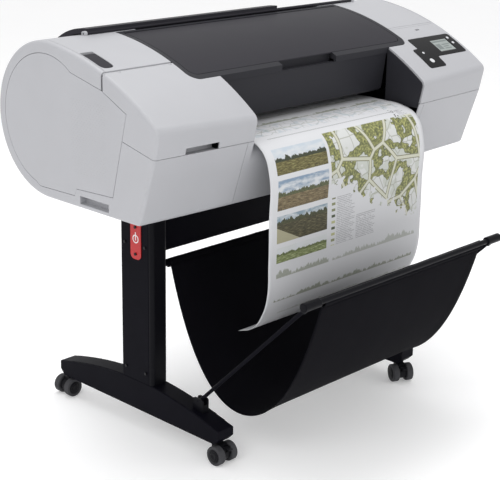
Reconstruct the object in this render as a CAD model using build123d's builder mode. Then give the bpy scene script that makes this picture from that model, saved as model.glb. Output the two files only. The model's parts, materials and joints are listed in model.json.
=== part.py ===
"""Large format plotter: a roll-fed ink plotter on a wheeled stand with a cloth catch bin.

Millimetres.  +X is to the right of a person standing in front, +Y is to the back, +Z is up.
The origin is on the floor, under the middle of the whole object.
Depths are written from the middle of the stand's columns, and py() turns them into model Y.
"""
import os
from math import asin, cos, degrees, hypot, radians, sin, sqrt

from build123d import *

os.makedirs("parts", exist_ok=True)

# ---------------------------------------------------------------- driving dimensions: stand
foot_x = 377.0           # middle of a foot, a column and its casters, from the middle of the plotter
foot_width = 54.0
foot_front = 308.0       # the foot's front end, forward of the column's middle
foot_rear = 332.0        # the foot's rear end, behind it
foot_under = 57.0        # height of the foot's flat underside
foot_end_top = 97.0      # height of the foot's top at its ends
foot_crown = 141.0       # height of the foot's top at the column
foot_chamfer = 16.0
column_depth = 122.0
column_wall = 3.0
trim_thick = 13.0        # rounded cover on the column's front
beam_low = 491.0         # lower edge of the wide crossbeam
beam_depth = 40.0
beam_wall = 2.5
body_under = 678.0       # underside of the printer, where the columns end
caster_front_y = 276.0   # stems of the front casters, forward of the column's middle
caster_rear_y = 310.0    # stems of the rear casters, behind it
wheel_r = 26.0
wheel_width = 19.0
wheel_gap = 24.0         # between the two wheels of a caster
caster_trail = 20.0      # axle to stem, seen from above
axle_r = 3.5
stem_r = 5.5
run_fit = 0.05           # radial clearance of a running fit
part_gap = 0.4           # clearance between pieces that move past each other

# ---------------------------------------------------------------- driving dimensions: catch bin
rear_rod_y = -31.0       # depth and height of the bin's rear rod
rear_rod_z = 461.0
front_rod_y = -573.0     # depth and height of the bin's front rod
front_rod_z = 503.0
rod_r = 7.0
hem_r = 12.5             # outside of the cloth sleeve around a rod
cloth = 3.0              # thickness of the cloth's plain solid
arm_pivot_y = -214.0     # where the bin's arms turn, on the feet
arm_pivot_z = 146.0
arm_r = 5.0
arm_pin_r = 3.0
grip_length = 58.0
cloth_half = 322.0       # half length of the cloth
rod_end = 398.0          # half length of the front rod with its grips

# ---------------------------------------------------------------- driving dimensions: printer body
half_width = 631.0
wall = 3.0
back_r = 193.0           # radius of the round back
back_y = 64.0            # its centre; the underside and the crown are tangent to this round
crown_lean = 6.2         # degrees forward of upright where the top's long curve leaves the round back
nose_y = -339.0          # top front edge at the ends of the printer
nose_z = 912.0
seam_z = 844.0           # lower edge of the ink door and of the right-hand cover
seam_y = -325.0
toe_y = -272.0           # bottom front edge
bow = 20.0               # the front is this much further forward in the middle than at the ends
nose_r = 20.0
toe_r = 14.0
end_r = 9.0
panel_gap = 1.2          # the seam between two covers
cap_x = 618.0            # seam between the end cover and the top cover
door_rear = -146.0       # rear seam of the ink door
panel_inset = 37.0       # from the side outline in to the loose side panel

# ---------------------------------------------------------------- driving dimensions: opening and lids
opening_half = 324.0     # half width of the opening that the print comes out of
window_half = 399.0      # half width of the window lid
frame_border = 15.0      # dark border around the window lid
frame_depth = 14.0
lid_front = -205.0
frame_front = -222.0
lid_axis_y = 38.0        # hinge line of the window lid
lid_barrel_r = 5.0
lid_seam = 1.6           # the open seam around the lid
lid_corner = 20.0
pin_r = 2.5
mask_foot_y = -206.0     # lower edge of the dark front
mask_foot_z = 864.0
platen_z = 838.0         # top of the platen
sheet_z = 841.5          # underside of the sheet on the platen
sheet_thick = 1.0
sheet_half = 305.0
bay_half = 345.0         # half width of the roll bay

# ---------------------------------------------------------------- driving dimensions: roll and drive
spindle_y = 75.0
roll_r = 50.0
core_r = 25.5
spindle_r = 8.0
flange_r = 60.0
cover_gap = 3.0          # between the round back and the roll cover over it
cover_half = 500.0
roll_hinge_y = 66.0
roll_barrel_r = 4.0
feed_y = -60.0
feed_r = 12.0
feed_shaft_r = 5.0
pinch_r = 7.0
pinch_shaft_r = 2.5
pinch_count = 9
rail_y = -72.0
rail_z = 925.0
rail_r = 8.0
carriage_rest_x = 515.0
carriage_width = 110.0
belt_y = -84.0
belt_z = 978.0
pulley_r = 10.0
belt_thick = 1.6
belt_end_x = 585.0


def save(builder, label):
    """Name a finished piece and write its STEP file."""
    builder.part.label = label
    export_step(builder.part, f"parts/{label}.step")


# ---------------------------------------------------------------- the frame of the whole object
caster_half = wheel_gap / 2 + wheel_width
reach_front = -front_rod_y + hem_r
reach_rear = max(foot_rear, caster_rear_y + caster_half)
y_mid = (reach_front - reach_rear) / 2


def py(depth):
    """Model Y of a depth measured from the middle of the columns."""
    return y_mid + depth


def side(depth, height):
    """A point on a plane that is square to X."""
    return (py(depth), height)


# The top is one long arc: tangent to the round back at the crown, and through the nose.
back_z = body_under + back_r
lean = radians(crown_lean)
crown_y = back_y - back_r * sin(lean)
crown_z = back_z + back_r * cos(lean)
to_nose = (nose_y - crown_y, nose_z - crown_z)
top_r = (to_nose[0] ** 2 + to_nose[1] ** 2) / (2 * (to_nose[0] * sin(lean) - to_nose[1] * cos(lean)))
top_y = crown_y + top_r * sin(lean)
top_z = crown_z - top_r * cos(lean)
bow_radius = (half_width**2 + bow**2) / (2 * bow)
bow_axis_y = py(nose_y) - bow + bow_radius
bow_half_angle = 4.2


def top_height(depth, inset=0):
    """Height of the printer's top surface at a depth."""
    return top_z + sqrt((top_r - inset) ** 2 - (depth - top_y) ** 2)


def top_slope(depth):
    """Angle in degrees by which the printer's top falls towards the front at a depth."""
    return degrees(asin((top_y - depth) / top_r))


def block(x, y, z, mode=Mode.ADD):
    """A box between two limits on each axis, in the current part; y holds two depths."""
    with Locations(((x[0] + x[1]) / 2, py((y[0] + y[1]) / 2), (z[0] + z[1]) / 2)):
        Box(x[1] - x[0], y[1] - y[0], z[1] - z[0], mode=mode)


def rod(x, depth, height, radius, mode=Mode.ADD):
    """A cylinder along X between two limits, in the current part."""
    with Locations(((x[0] + x[1]) / 2, py(depth), height)):
        Cylinder(radius, x[1] - x[0], rotation=(0, 90, 0), mode=mode)


def prism(x, points, mode=Mode.ADD):
    """A side outline of (depth, height) points, extruded along X between two limits."""
    with BuildSketch(Plane.YZ.offset(x[0])) as outline:
        with BuildLine():
            Polyline(*[side(*point) for point in points], close=True)
        make_face()
    extrude(outline.sketch, amount=x[1] - x[0], mode=mode)


# ---------------------------------------------------------------- the printer's outer form
def body_envelope(inset):
    """The printer's outer form, moved inwards by inset: a drawn side outline with a bowed front."""
    half = half_width - inset
    reach = 90.0
    low = body_under + inset
    deep = back_y - nose_y + reach
    front_slope = (seam_y - nose_y) / (nose_z - seam_z)
    ceiling = crown_z + 90
    ground = body_under - 180
    edge = bow_axis_y + bow - inset
    start = radians(-bow_half_angle)
    cutting = Plane(
        origin=(0, bow_axis_y, 0),
        x_dir=(sin(start), -cos(start), 0),
        z_dir=(-cos(start), -sin(start), 0),
    )
    with BuildPart() as form:
        with BuildSketch(Plane.YZ.offset(-half)):
            with Locations(side(back_y - deep / 2, (low + ceiling) / 2)):
                Rectangle(deep, ceiling - low)
            with Locations(side(top_y, top_z)):
                Circle(top_r - inset, mode=Mode.INTERSECT)
            with Locations(side(back_y, back_z)):
                Circle(back_r - inset)
        extrude(amount=2 * half)
        with BuildSketch(cutting):
            with BuildLine():
                Polyline(
                    (edge - py(400), ground),
                    (edge - py(400), ceiling),
                    (edge - py(nose_y - front_slope * (ceiling - nose_z)), ceiling),
                    (edge - py(nose_y), nose_z),
                    (edge - py(seam_y), seam_z),
                    (edge - py(toe_y), body_under),
                    (edge - py(toe_y), ground),
                    close=True,
                )
            make_face()
        revolve(
            axis=Axis((0, bow_axis_y, 0), (0, 0, 1)),
            revolution_arc=2 * bow_half_angle,
            mode=Mode.INTERSECT,
        )
        for height, radius in ((nose_z, nose_r), (low, toe_r)):
            long_edges = form.edges().filter_by(lambda e: e.length > half and e.center().Y < py(-220))
            fillet(long_edges.sort_by(lambda e: abs(e.center().Z - height))[0], radius=max(radius - inset, 1))
        if end_r > inset:
            end_edges = form.edges().filter_by(lambda e: abs(abs(e.center().X) - half) < 0.5)
            fillet(end_edges, radius=end_r - inset)
    return form.part


outer = body_envelope(0)
inner = body_envelope(wall)
lip_inner = body_envelope(wall + 9)
frame_inner = body_envelope(frame_depth)
with BuildPart() as shell_builder:
    add(outer)
    add(inner, mode=Mode.SUBTRACT)
shell = shell_builder.part


def front_cover_zone(x, shrink, mode):
    """The space of an upper front cover between two X limits; shrink moves its seams inwards.

    On the printer's end it runs into the loose panel, which is cut out of it afterwards.
    """
    points = [
        (door_rear - shrink, crown_z + 40),
        (door_rear - shrink, 920),
        (-205 - shrink, 872.3 + shrink),
        (seam_y, seam_z + shrink),
        (nose_y - 120, seam_z + shrink),
        (nose_y - 120, crown_z + 40),
    ]
    prism(x, points, mode)


def plan_zone(half, front, rear, corner_r, mode):
    """A footprint seen from above, with rounded front corners, through the printer's upper part."""
    with BuildSketch(Plane.XY.offset(body_under + 60)) as plan:
        with Locations((0, py((front + rear) / 2))):
            Rectangle(2 * half, rear - front)
        fillet(plan.vertices().group_by(Axis.Y)[0], corner_r)
    extrude(plan.sketch, amount=500, mode=mode)


def window_zone(grow, mode):
    """The window frame's footprint seen from above, grown on its sides and front."""
    rear = lid_axis_y + frame_border + lid_barrel_r + grow
    plan_zone(window_half + frame_border + grow, frame_front - grow, rear, 30, mode)


# ---------------------------------------------------------------- stand
stem_length = 22.0
boss_r = 12.0
foot_wall = 4.0
foot_rise = foot_crown - foot_end_top
stem_places = [(sign * foot_x, py(y)) for sign in (-1, 1) for y in (-caster_front_y, caster_rear_y)]
with BuildPart() as feet:
    with BuildSketch(Plane.YZ) as foot_outline:
        with BuildLine():
            Line(side(-foot_front + foot_chamfer, foot_under), side(foot_rear - foot_chamfer, foot_under))
            Line(side(foot_rear - foot_chamfer, foot_under), side(foot_rear, foot_under + foot_chamfer))
            Line(side(foot_rear, foot_under + foot_chamfer), side(foot_rear, foot_end_top))
            ThreePointArc(
                side(foot_rear, foot_end_top),
                side(0.55 * foot_rear, foot_end_top + 0.72 * foot_rise),
                side(column_depth / 2, foot_crown),
            )
            Line(side(column_depth / 2, foot_crown), side(-column_depth / 2, foot_crown))
            ThreePointArc(
                side(-column_depth / 2, foot_crown),
                side(-0.62 * foot_front, foot_end_top + 0.62 * foot_rise),
                side(-foot_front, foot_end_top),
            )
            Line(side(-foot_front, foot_end_top), side(-foot_front, foot_under + foot_chamfer))
            Line(side(-foot_front, foot_under + foot_chamfer), side(-foot_front + foot_chamfer, foot_under))
        make_face()
    for sign in (-1, 1):
        inner_face = Location((sign * foot_x - foot_width / 2, 0, 0))
        extrude(foot_outline.sketch.moved(inner_face), amount=foot_width)
    flank = feet.edges().filter_by(lambda e: abs(abs(abs(e.center().X) - foot_x) - foot_width / 2) < 1)
    fillet(flank.filter_by(lambda e: e.center().Z > foot_end_top - 1), radius=3)
    # The casting is hollow and open below, with a boss around each caster's stem.
    roof = foot_crown - 1.5 * foot_wall
    low_roof = foot_end_top - foot_wall
    for sign in (-1, 1):
        prism((sign * foot_x - foot_width / 2 + foot_wall, sign * foot_x + foot_width / 2 - foot_wall), [
            (-foot_front + foot_chamfer + foot_wall, foot_under - 1),
            (-foot_front + foot_wall, foot_under + foot_chamfer),
            (-foot_front + foot_wall, low_roof),
            (-0.62 * foot_front, foot_end_top + 0.62 * foot_rise - 1.5 * foot_wall),
            (-column_depth / 2, roof),
            (column_depth / 2, roof),
            (0.55 * foot_rear, foot_end_top + 0.72 * foot_rise - 1.5 * foot_wall),
            (foot_rear - foot_wall, low_roof),
            (foot_rear - foot_wall, foot_under + foot_chamfer),
            (foot_rear - foot_chamfer - foot_wall, foot_under - 1),
        ], mode=Mode.SUBTRACT)
    for x, y in stem_places:
        with Locations((x, y, (foot_under + foot_end_top) / 2)):
            Cylinder(boss_r, foot_end_top - foot_under)
        with Locations((x, y, foot_under)):
            Cylinder(stem_r + run_fit, 2 * stem_length, mode=Mode.SUBTRACT)
save(feet, "feet")

with BuildPart() as columns:
    for sign in (-1, 1):
        with BuildSketch(Plane.XY.offset(foot_crown)):
            with Locations((sign * foot_x, py(trim_thick / 2))):
                RectangleRounded(foot_width, column_depth - trim_thick, 4)
                Rectangle(foot_width - 2 * column_wall, column_depth - trim_thick - 2 * column_wall,
                          mode=Mode.SUBTRACT)
        extrude(amount=body_under - foot_crown)
save(columns, "columns")

with BuildPart() as column_trims:
    for sign in (-1, 1):
        with BuildSketch(Plane.XY.offset(foot_crown)):
            front = py(-column_depth / 2)
            with Locations((sign * foot_x, front + trim_thick / 2)):
                Rectangle(foot_width, trim_thick)
        extrude(amount=body_under - foot_crown)
    fillet(column_trims.edges().filter_by(Axis.Z).group_by(Axis.Y)[0], radius=trim_thick - 2)
save(column_trims, "column_trims")

beam_half = foot_x - foot_width / 2
with BuildPart() as crossbeam:
    block((-beam_half, beam_half), (-beam_depth / 2, beam_depth / 2), (beam_low, body_under))
    fillet(crossbeam.edges().filter_by(Axis.X), radius=5)
    hollow = beam_depth / 2 - beam_wall
    inside = (beam_low + beam_wall, body_under - beam_wall)
    block((-beam_half, beam_half), (-hollow, hollow), inside, mode=Mode.SUBTRACT)
save(crossbeam, "crossbeam")

# The tag plate on the left column's outer face, just under the printer.
tag_width = 40.0
tag_thick = 2.0
tag_low = 483.0
tag_high = 604.0
tag_screw_z = (497.0, 570.0)
tag_face = foot_x + foot_width / 2
with BuildPart() as side_tag:
    with BuildSketch(Plane.YZ.offset(-tag_face - tag_thick)):
        with Locations(side(0, (tag_low + tag_high) / 2)):
            RectangleRounded(tag_width, tag_high - tag_low, 14)
    extrude(amount=tag_thick)
save(side_tag, "side_tag")

screw_r = 4.0
screw_head = 3.0
with BuildPart() as stand_screws:
    for sign in (-1, 1):
        for height in (foot_crown + 30, beam_low + 30, body_under - 60):
            for depth in (-34, 44):
                with Locations((sign * (tag_face + screw_head / 2), py(depth), height)):
                    Cylinder(screw_r, screw_head, rotation=(0, 90, 0))
    for height in tag_screw_z:
        with Locations((-tag_face - tag_thick - screw_head / 2, py(0), height)):
            Cylinder(screw_r, screw_head, rotation=(0, 90, 0))
save(stand_screws, "stand_screws")


# ---------------------------------------------------------------- casters
caster_names = {
    "front_left": (-1, -caster_front_y, 0.0),
    "front_right": (1, -caster_front_y, -28.0),
    "rear_left": (-1, caster_rear_y, -90.0),
    "rear_right": (1, caster_rear_y, 35.0),
}
hub_r = 18.0
pedal_y = -caster_trail - 15.0
pedal_z = wheel_r + 19.0
ear_x = 9.0


def caster(label, sign, depth, turn, braked):
    """A twin-wheel caster: the swivelling fork with its stem and axle, the wheels, and a brake pedal."""
    spot = Plane(origin=(sign * foot_x, py(depth), 0), x_dir=(cos(radians(turn)), sin(radians(turn)), 0))
    middle = wheel_gap - 2 * part_gap
    with BuildPart(spot) as fork:
        with Locations((0, -caster_trail, wheel_r)):
            Cylinder(hub_r, middle, rotation=(0, 90, 0))
        neck_low = wheel_r + 4
        neck_high = foot_under - 4
        with Locations((0, -caster_trail / 2 + 1, (neck_low + neck_high) / 2)):
            Box(middle, hub_r + 14, neck_high - neck_low)
        with Locations((0, 0, foot_under - 3)):
            Cylinder(15, 5)
        with Locations((0, 0, foot_under - part_gap + stem_length / 2 - 2)):
            Cylinder(stem_r, stem_length - 3)
        with Locations((0, -caster_trail, wheel_r)):
            Cylinder(axle_r, 2 * caster_half - 4, rotation=(0, 90, 0))
        if braked:
            with Locations((0, pedal_y + 5, pedal_z - 2)):
                Box(2 * ear_x + 4, 18, 13)
            with Locations((0, pedal_y - 1, pedal_z)):
                Box(2 * ear_x - 2, 17, 22, mode=Mode.SUBTRACT)
            with Locations((0, pedal_y, pedal_z)):
                Cylinder(2 + run_fit, 2 * ear_x + 6, rotation=(0, 90, 0), mode=Mode.SUBTRACT)
    save(fork, f"caster_fork_{label}")

    with BuildPart(spot) as wheels:
        offset_x = wheel_gap / 2 + wheel_width / 2
        with Locations((-offset_x, -caster_trail, wheel_r), (offset_x, -caster_trail, wheel_r)):
            Cylinder(wheel_r, wheel_width, rotation=(0, 90, 0))
        fillet(wheels.edges().filter_by(GeomType.CIRCLE), radius=2.5)
        with Locations((0, -caster_trail, wheel_r)):
            Cylinder(axle_r + run_fit, 2 * caster_half - 4, rotation=(0, 90, 0), mode=Mode.SUBTRACT)
    save(wheels, f"caster_wheels_{label}")

    if braked:
        with BuildPart(spot) as pedal:
            with Locations((0, pedal_y, pedal_z)):
                Cylinder(3.2, 2 * ear_x - 3, rotation=(0, 90, 0))
                Cylinder(2, 2 * ear_x + 3, rotation=(0, 90, 0))
            with Locations((0, pedal_y - 8, pedal_z)):
                Box(2 * ear_x - 3, 16, 4)
        save(pedal, f"brake_pedal_{label}")


for label, (sign, depth, turn) in caster_names.items():
    caster(label, sign, depth, turn, label.startswith("front"))


# ---------------------------------------------------------------- catch bin
clip_half = 11.0
arm_x = foot_x - 2.0

with BuildPart() as arm_clips:
    for sign in (-1, 1):
        base = foot_end_top + 14
        block((sign * arm_x - clip_half, sign * arm_x + clip_half), (arm_pivot_y - 18, arm_pivot_y + 18),
              (base, arm_pivot_z + 7))
    fillet(arm_clips.edges().filter_by(Axis.X).group_by(Axis.Z)[-1], radius=6)
    for sign in (-1, 1):
        slot = arm_r + 1.0
        block((sign * arm_x - slot, sign * arm_x + slot), (arm_pivot_y - 30, arm_pivot_y + 30),
              (arm_pivot_z - 9, arm_pivot_z + 20), mode=Mode.SUBTRACT)
        through = (sign * arm_x - 30, sign * arm_x + 30)
        rod(through, arm_pivot_y, arm_pivot_z, arm_pin_r + run_fit, mode=Mode.SUBTRACT)
    with BuildSketch(Plane.YZ.offset(-foot_x - foot_width)):
        with BuildLine():
            Polyline(side(-foot_front, foot_under), side(-foot_front, foot_end_top))
            ThreePointArc(
                side(-foot_front, foot_end_top),
                side(-0.62 * foot_front, foot_end_top + 0.62 * foot_rise),
                side(-column_depth / 2, foot_crown),
            )
            Polyline(side(-column_depth / 2, foot_crown), side(-column_depth / 2, foot_under),
                     side(-foot_front, foot_under))
        make_face()
    extrude(amount=2 * (foot_x + foot_width), mode=Mode.SUBTRACT)
save(arm_clips, "arm_clips")

arm_run = (front_rod_y - arm_pivot_y, front_rod_z - arm_pivot_z)
arm_length = hypot(*arm_run)
with BuildPart() as bin_arms:
    for sign in (-1, 1):
        along = Plane(
            origin=(sign * arm_x, py(arm_pivot_y), arm_pivot_z),
            x_dir=(1, 0, 0),
            z_dir=(0, arm_run[0] / arm_length, arm_run[1] / arm_length),
        )
        with BuildSketch(along):
            Circle(arm_r)
        extrude(amount=arm_length - rod_r - 0.2)
        rod((sign * arm_x - arm_r, sign * arm_x + arm_r), arm_pivot_y, arm_pivot_z, arm_r + 0.5)
        rod((sign * arm_x - clip_half, sign * arm_x + clip_half), arm_pivot_y, arm_pivot_z, arm_pin_r)
save(bin_arms, "bin_arms")

with BuildPart() as bin_front_rod:
    rod((-rod_end, rod_end), front_rod_y, front_rod_z, rod_r)
    for sign in (-1, 1):
        ends = sorted((sign * rod_end, sign * (rod_end - grip_length)))
        rod(ends, front_rod_y, front_rod_z, hem_r - 1)
        fillet(bin_front_rod.edges().filter_by(GeomType.CIRCLE).filter_by(
            lambda e: abs(e.radius - hem_r + 1) < 0.01 and e.center().X * sign > 0), radius=3)
    for sign in (-1, 1):
        along = Plane(
            origin=(sign * arm_x, py(arm_pivot_y), arm_pivot_z),
            x_dir=(1, 0, 0),
            z_dir=(0, arm_run[0] / arm_length, arm_run[1] / arm_length),
        )
        with BuildSketch(along.offset(arm_length - hem_r - 14)):
            Circle(arm_r + 3)
        extrude(amount=18)
        with BuildSketch(along.offset(arm_length - hem_r - 20)):
            Circle(arm_r)
        extrude(amount=hem_r + 20 - rod_r - 0.2, mode=Mode.SUBTRACT)
save(bin_front_rod, "bin_front_rod")

with BuildPart() as bin_rear_rod:
    rod((-beam_half, beam_half), rear_rod_y, rear_rod_z, rod_r)
save(bin_rear_rod, "bin_rear_rod")

# The cloth hangs from the rear rod to the front rod in one deep fold.
sling = [
    (rear_rod_y - hem_r + 1.5, rear_rod_z),
    (-66, 395),
    (-103, 299),
    (-141, 228),
    (-200, 160),
    (-268, 128),
    (-330, 132),
    (-390, 158),
    (-440, 205),
    (-484, 268),
    (-526, 360),
    (front_rod_y + 3, front_rod_z - hem_r + 1),
]
with BuildPart() as bin_cloth:
    with BuildSketch(Plane.YZ.offset(-cloth_half)) as sling_outline:
        with BuildLine() as sling_line:
            Spline(*[side(*point) for point in sling])
        trace(line_width=cloth)
        with Locations(side(rear_rod_y, rear_rod_z), side(front_rod_y, front_rod_z)):
            Circle(hem_r)
            Circle(rod_r + 0.3, mode=Mode.SUBTRACT)
    extrude(amount=2 * cloth_half)
print("length of the bin's cloth between its hems", round(sling_line.edges()[0].length, 1))
save(bin_cloth, "bin_cloth")


# ---------------------------------------------------------------- covers of the printer
def end_panel_outline(grow):
    """The loose panel in an end cover: the side outline moved in, cut to a slanted front edge."""
    with BuildSketch(Plane.YZ) as outline:
        with BuildLine():
            Polyline(
                side(back_y - 20, top_height(back_y - 20) - panel_inset - 6 + grow),
                side(door_rear + 1, 976 + grow),
                side(-232 - grow, 934 + grow),
                side(-181 - grow, 730 - grow),
                side(-48, 724 - grow),
                side(-40, 706 - grow),
                side(back_y + 36, 703 - grow),
                side(back_y + 96, 760 - grow),
                side(back_y + 96, 960 + grow),
                close=True,
            )
        make_face()
        with Locations(side(back_y, back_z - 1)):
            Circle(back_r - panel_inset + 8 + grow)
        corner = side(-232 - grow, 934 + grow)
        fillet(outline.vertices().sort_by(lambda v: hypot(v.Y - corner[0], v.Z - corner[1]))[0], 24)
    return outline.sketch


def cut_end_panel(sign):
    """Cut the loose panel's opening, with its seam, out of the current part."""
    cut_from = Location((sign * (half_width - 1.5 * wall), 0, 0))
    extrude(end_panel_outline(panel_gap).moved(cut_from), amount=sign * 3 * wall, mode=Mode.SUBTRACT)


def end_panel(sign, label):
    """The loose panel itself, flush with the end cover around it."""
    with BuildPart() as piece:
        extrude(end_panel_outline(0).moved(Location((sign * (half_width - wall), 0, 0))), amount=sign * wall)
    save(piece, label)


grip_y = (-166.0, -60.0)
grip_z = (689.0, 709.0)
grip_depth = 19.0
notch_x = (-541.0, -439.0)       # finger notch in the ink door's lower edge
notch_deep = 13.0


def printer_side(sign, label):
    """An end cover in one piece with the lower front beside the opening."""
    def span(near, far):
        return tuple(sorted((sign * near, sign * far)))

    with BuildPart() as piece:
        add(shell)
        block(span(0, half_width + 5), (-500, 400), (body_under - 50, crown_z + 50), mode=Mode.INTERSECT)
        # Open it inboard of the end ring, apart from the lower front beside the opening.
        block(span(0, cap_x), (-60, 400), (body_under - 50, crown_z + 50), mode=Mode.SUBTRACT)
        block(span(0, cap_x), (-500, 400), (seam_z + 30, crown_z + 50), mode=Mode.SUBTRACT)
        block(span(0, bay_half), (-500, 400), (body_under - 50, crown_z + 50), mode=Mode.SUBTRACT)
        front_cover_zone(span(0, half_width + 5), -panel_gap / 2, Mode.SUBTRACT)
        cut_end_panel(sign)
        # The recessed hand grip low on the end cover, with a pocket behind it.
        around_y = (grip_y[0] - wall, grip_y[1] + wall)
        around_z = (grip_z[0] - wall, grip_z[1] + wall)
        block(span(half_width - grip_depth - wall, half_width + 1), around_y, around_z)
        block(span(half_width - grip_depth, half_width + 9), grip_y, grip_z, mode=Mode.SUBTRACT)
        block(span(half_width - 40, half_width + 9), (-400, 400), (600, body_under), mode=Mode.SUBTRACT)
        block(span(half_width, half_width + 9), (-400, 400), (600, 1200), mode=Mode.SUBTRACT)
        if sign < 0:
            # A shelf and a back wall close the ink door's finger notch from behind.
            back = seam_y + notch_deep
            block(notch_x, (seam_y - 2, back + wall), (seam_z - 4, seam_z - 1))
            block(notch_x, (back, back + wall), (seam_z - 4, seam_z + 22))
    save(piece, label)


printer_side(-1, "left_end_cover")
printer_side(1, "right_end_cover")
end_panel(-1, "left_side_panel")
end_panel(1, "right_side_panel")


# ---------------------------------------------------------------- upper covers
recess_x = (-614.0, -576.0)      # the load lever's well in the left top cover
recess_y = (-133.0, -48.0)
recess_depth = 13.0
lever_pin_y = -58.0
socket_x = (420.0, 545.0)        # window for the sockets in the round back, on the right
socket_z = (742.0, 790.0)
cover_rear_z = 800.0             # lower edge of the top covers on the round back
panel_points = [
    (426, -208), (613, -208), (613, -282), (474, -282), (474, -315), (400, -315), (400, -248), (426, -248),
]
slot_mark = (518.0, -172.0)
roll_axis_z = back_z + back_r + roll_barrel_r + 0.6
lever_barrel_r = 4.5
lever_pin_z = top_height(lever_pin_y) - lever_barrel_r - 1.0
door_barrel_r = 4.5
door_axis_y = door_rear - panel_gap / 2 - door_barrel_r
door_axis_z = top_height(door_axis_y) - door_barrel_r
door_knuckles = ((-588.0, -580.0), (-430.0, -422.0))
lid_axis_z = top_height(lid_axis_y) - lid_barrel_r


def panel_zone(grow, mode, low=800.0):
    """The control panel's L-shaped footprint seen from above."""
    with BuildSketch(Plane.XY.offset(low)) as plan:
        with BuildLine():
            Polyline(*[(x, py(y)) for x, y in panel_points], close=True)
        make_face()
        fillet(plan.vertices(), 7)
        if grow:
            offset(amount=grow)
    extrude(plan.sketch, amount=300, mode=mode)


def lever_outline(inset, low, mode):
    """The load lever's footprint seen from above: a strip with a rounded front end."""
    with BuildSketch(Plane.XY.offset(low)) as plan:
        with Locations(((recess_x[0] + recess_x[1]) / 2, py((recess_y[0] + recess_y[1]) / 2))):
            Rectangle(recess_x[1] - recess_x[0] - 2 * inset, recess_y[1] - recess_y[0] - 2 * inset)
        fillet(plan.vertices().group_by(Axis.Y)[0], 14 - inset)
    extrude(plan.sketch, amount=150, mode=mode)


def top_cover(sign, label):
    """The rear part of the top between the end cover's ring, the window frame and the roll bay."""
    def span(near, far):
        return tuple(sorted((sign * near, sign * far)))

    lug_top = roll_axis_z + 6
    with BuildPart() as piece:
        add(shell)
        from_door = (door_rear + panel_gap / 2, 400)
        above_bay = (cover_rear_z, crown_z + 50)
        block(span(bay_half + 2, cap_x - panel_gap), from_door, above_bay, mode=Mode.INTERSECT)
        if sign > 0:
            with BuildPart(mode=Mode.PRIVATE) as front:
                add(shell)
                front_cover_zone((opening_half + 2, half_width + 5), panel_gap / 2, Mode.INTERSECT)
            add(front.part)
            block((opening_half + 2, cap_x - panel_gap), (door_rear - 8, door_rear + 8),
                  (top_height(door_rear) - wall - 2, top_height(door_rear) - wall + 0.5))
            with BuildPart(mode=Mode.PRIVATE) as edge_lip:
                add(outer)
                add(lip_inner, mode=Mode.SUBTRACT)
                front_cover_zone((opening_half + 2, opening_half + 5), panel_gap / 2, Mode.INTERSECT)
            add(edge_lip.part)
            cut_end_panel(1)
            panel_zone(0.4, Mode.SUBTRACT)
            with Locations((slot_mark[0], py(slot_mark[1]), top_height(slot_mark[1]))):
                Box(17, 6, 30, mode=Mode.SUBTRACT)
        window_zone(panel_gap, Mode.SUBTRACT)
        # Lugs for the roll cover's hinge pins.
        lug_y = (roll_hinge_y - 7, roll_hinge_y + 7)
        block(span(cover_half + 1.5, cover_half + 9.5), lug_y, (back_z + back_r - 5, lug_top))
        fillet(piece.edges().filter_by(Axis.X).filter_by(lambda e: abs(e.center().Z - lug_top) < 0.1), 5)
        rod(span(cover_half, cover_half + 11), roll_hinge_y, roll_axis_z, pin_r + run_fit, mode=Mode.SUBTRACT)
        if sign < 0:
            well_low = top_height(recess_y[0]) - recess_depth
            block((recess_x[0] - 2, recess_x[1] + 2), (recess_y[0] - 2, recess_y[1] + 2),
                  (well_low - 2, top_height(recess_y[1]) - wall))
            lever_outline(0, well_low, Mode.SUBTRACT)
            with BuildPart(mode=Mode.PRIVATE) as above:
                beyond_y = (recess_y[0] - 6, recess_y[1] + 6)
                block((recess_x[0] - 6, recess_x[1] + 6), beyond_y, (crown_z - 150, crown_z + 50))
                add(outer, mode=Mode.SUBTRACT)
            add(above.part, mode=Mode.SUBTRACT)
            across_well = (recess_x[0] - 2, recess_x[1] + 2)
            rod(across_well, lever_pin_y, lever_pin_z, pin_r + run_fit, mode=Mode.SUBTRACT)
            # Knuckles at the rear seam hold the ink door's pin.
            for x in door_knuckles:
                rod(x, door_axis_y, door_axis_z, door_barrel_r)
                block(x, (door_axis_y, door_rear + 10), (door_axis_z - door_barrel_r, door_axis_z))
                under_skin = top_height(door_rear) - wall + 0.5
                block(x, (door_rear + 1, door_rear + 10), (door_axis_z - 1, under_skin))
                rod((x[0] - 1, x[1] + 1), door_axis_y, door_axis_z, pin_r + run_fit, mode=Mode.SUBTRACT)
    save(piece, label)


top_cover(-1, "left_top_cover")
top_cover(1, "right_top_cover")

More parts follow.
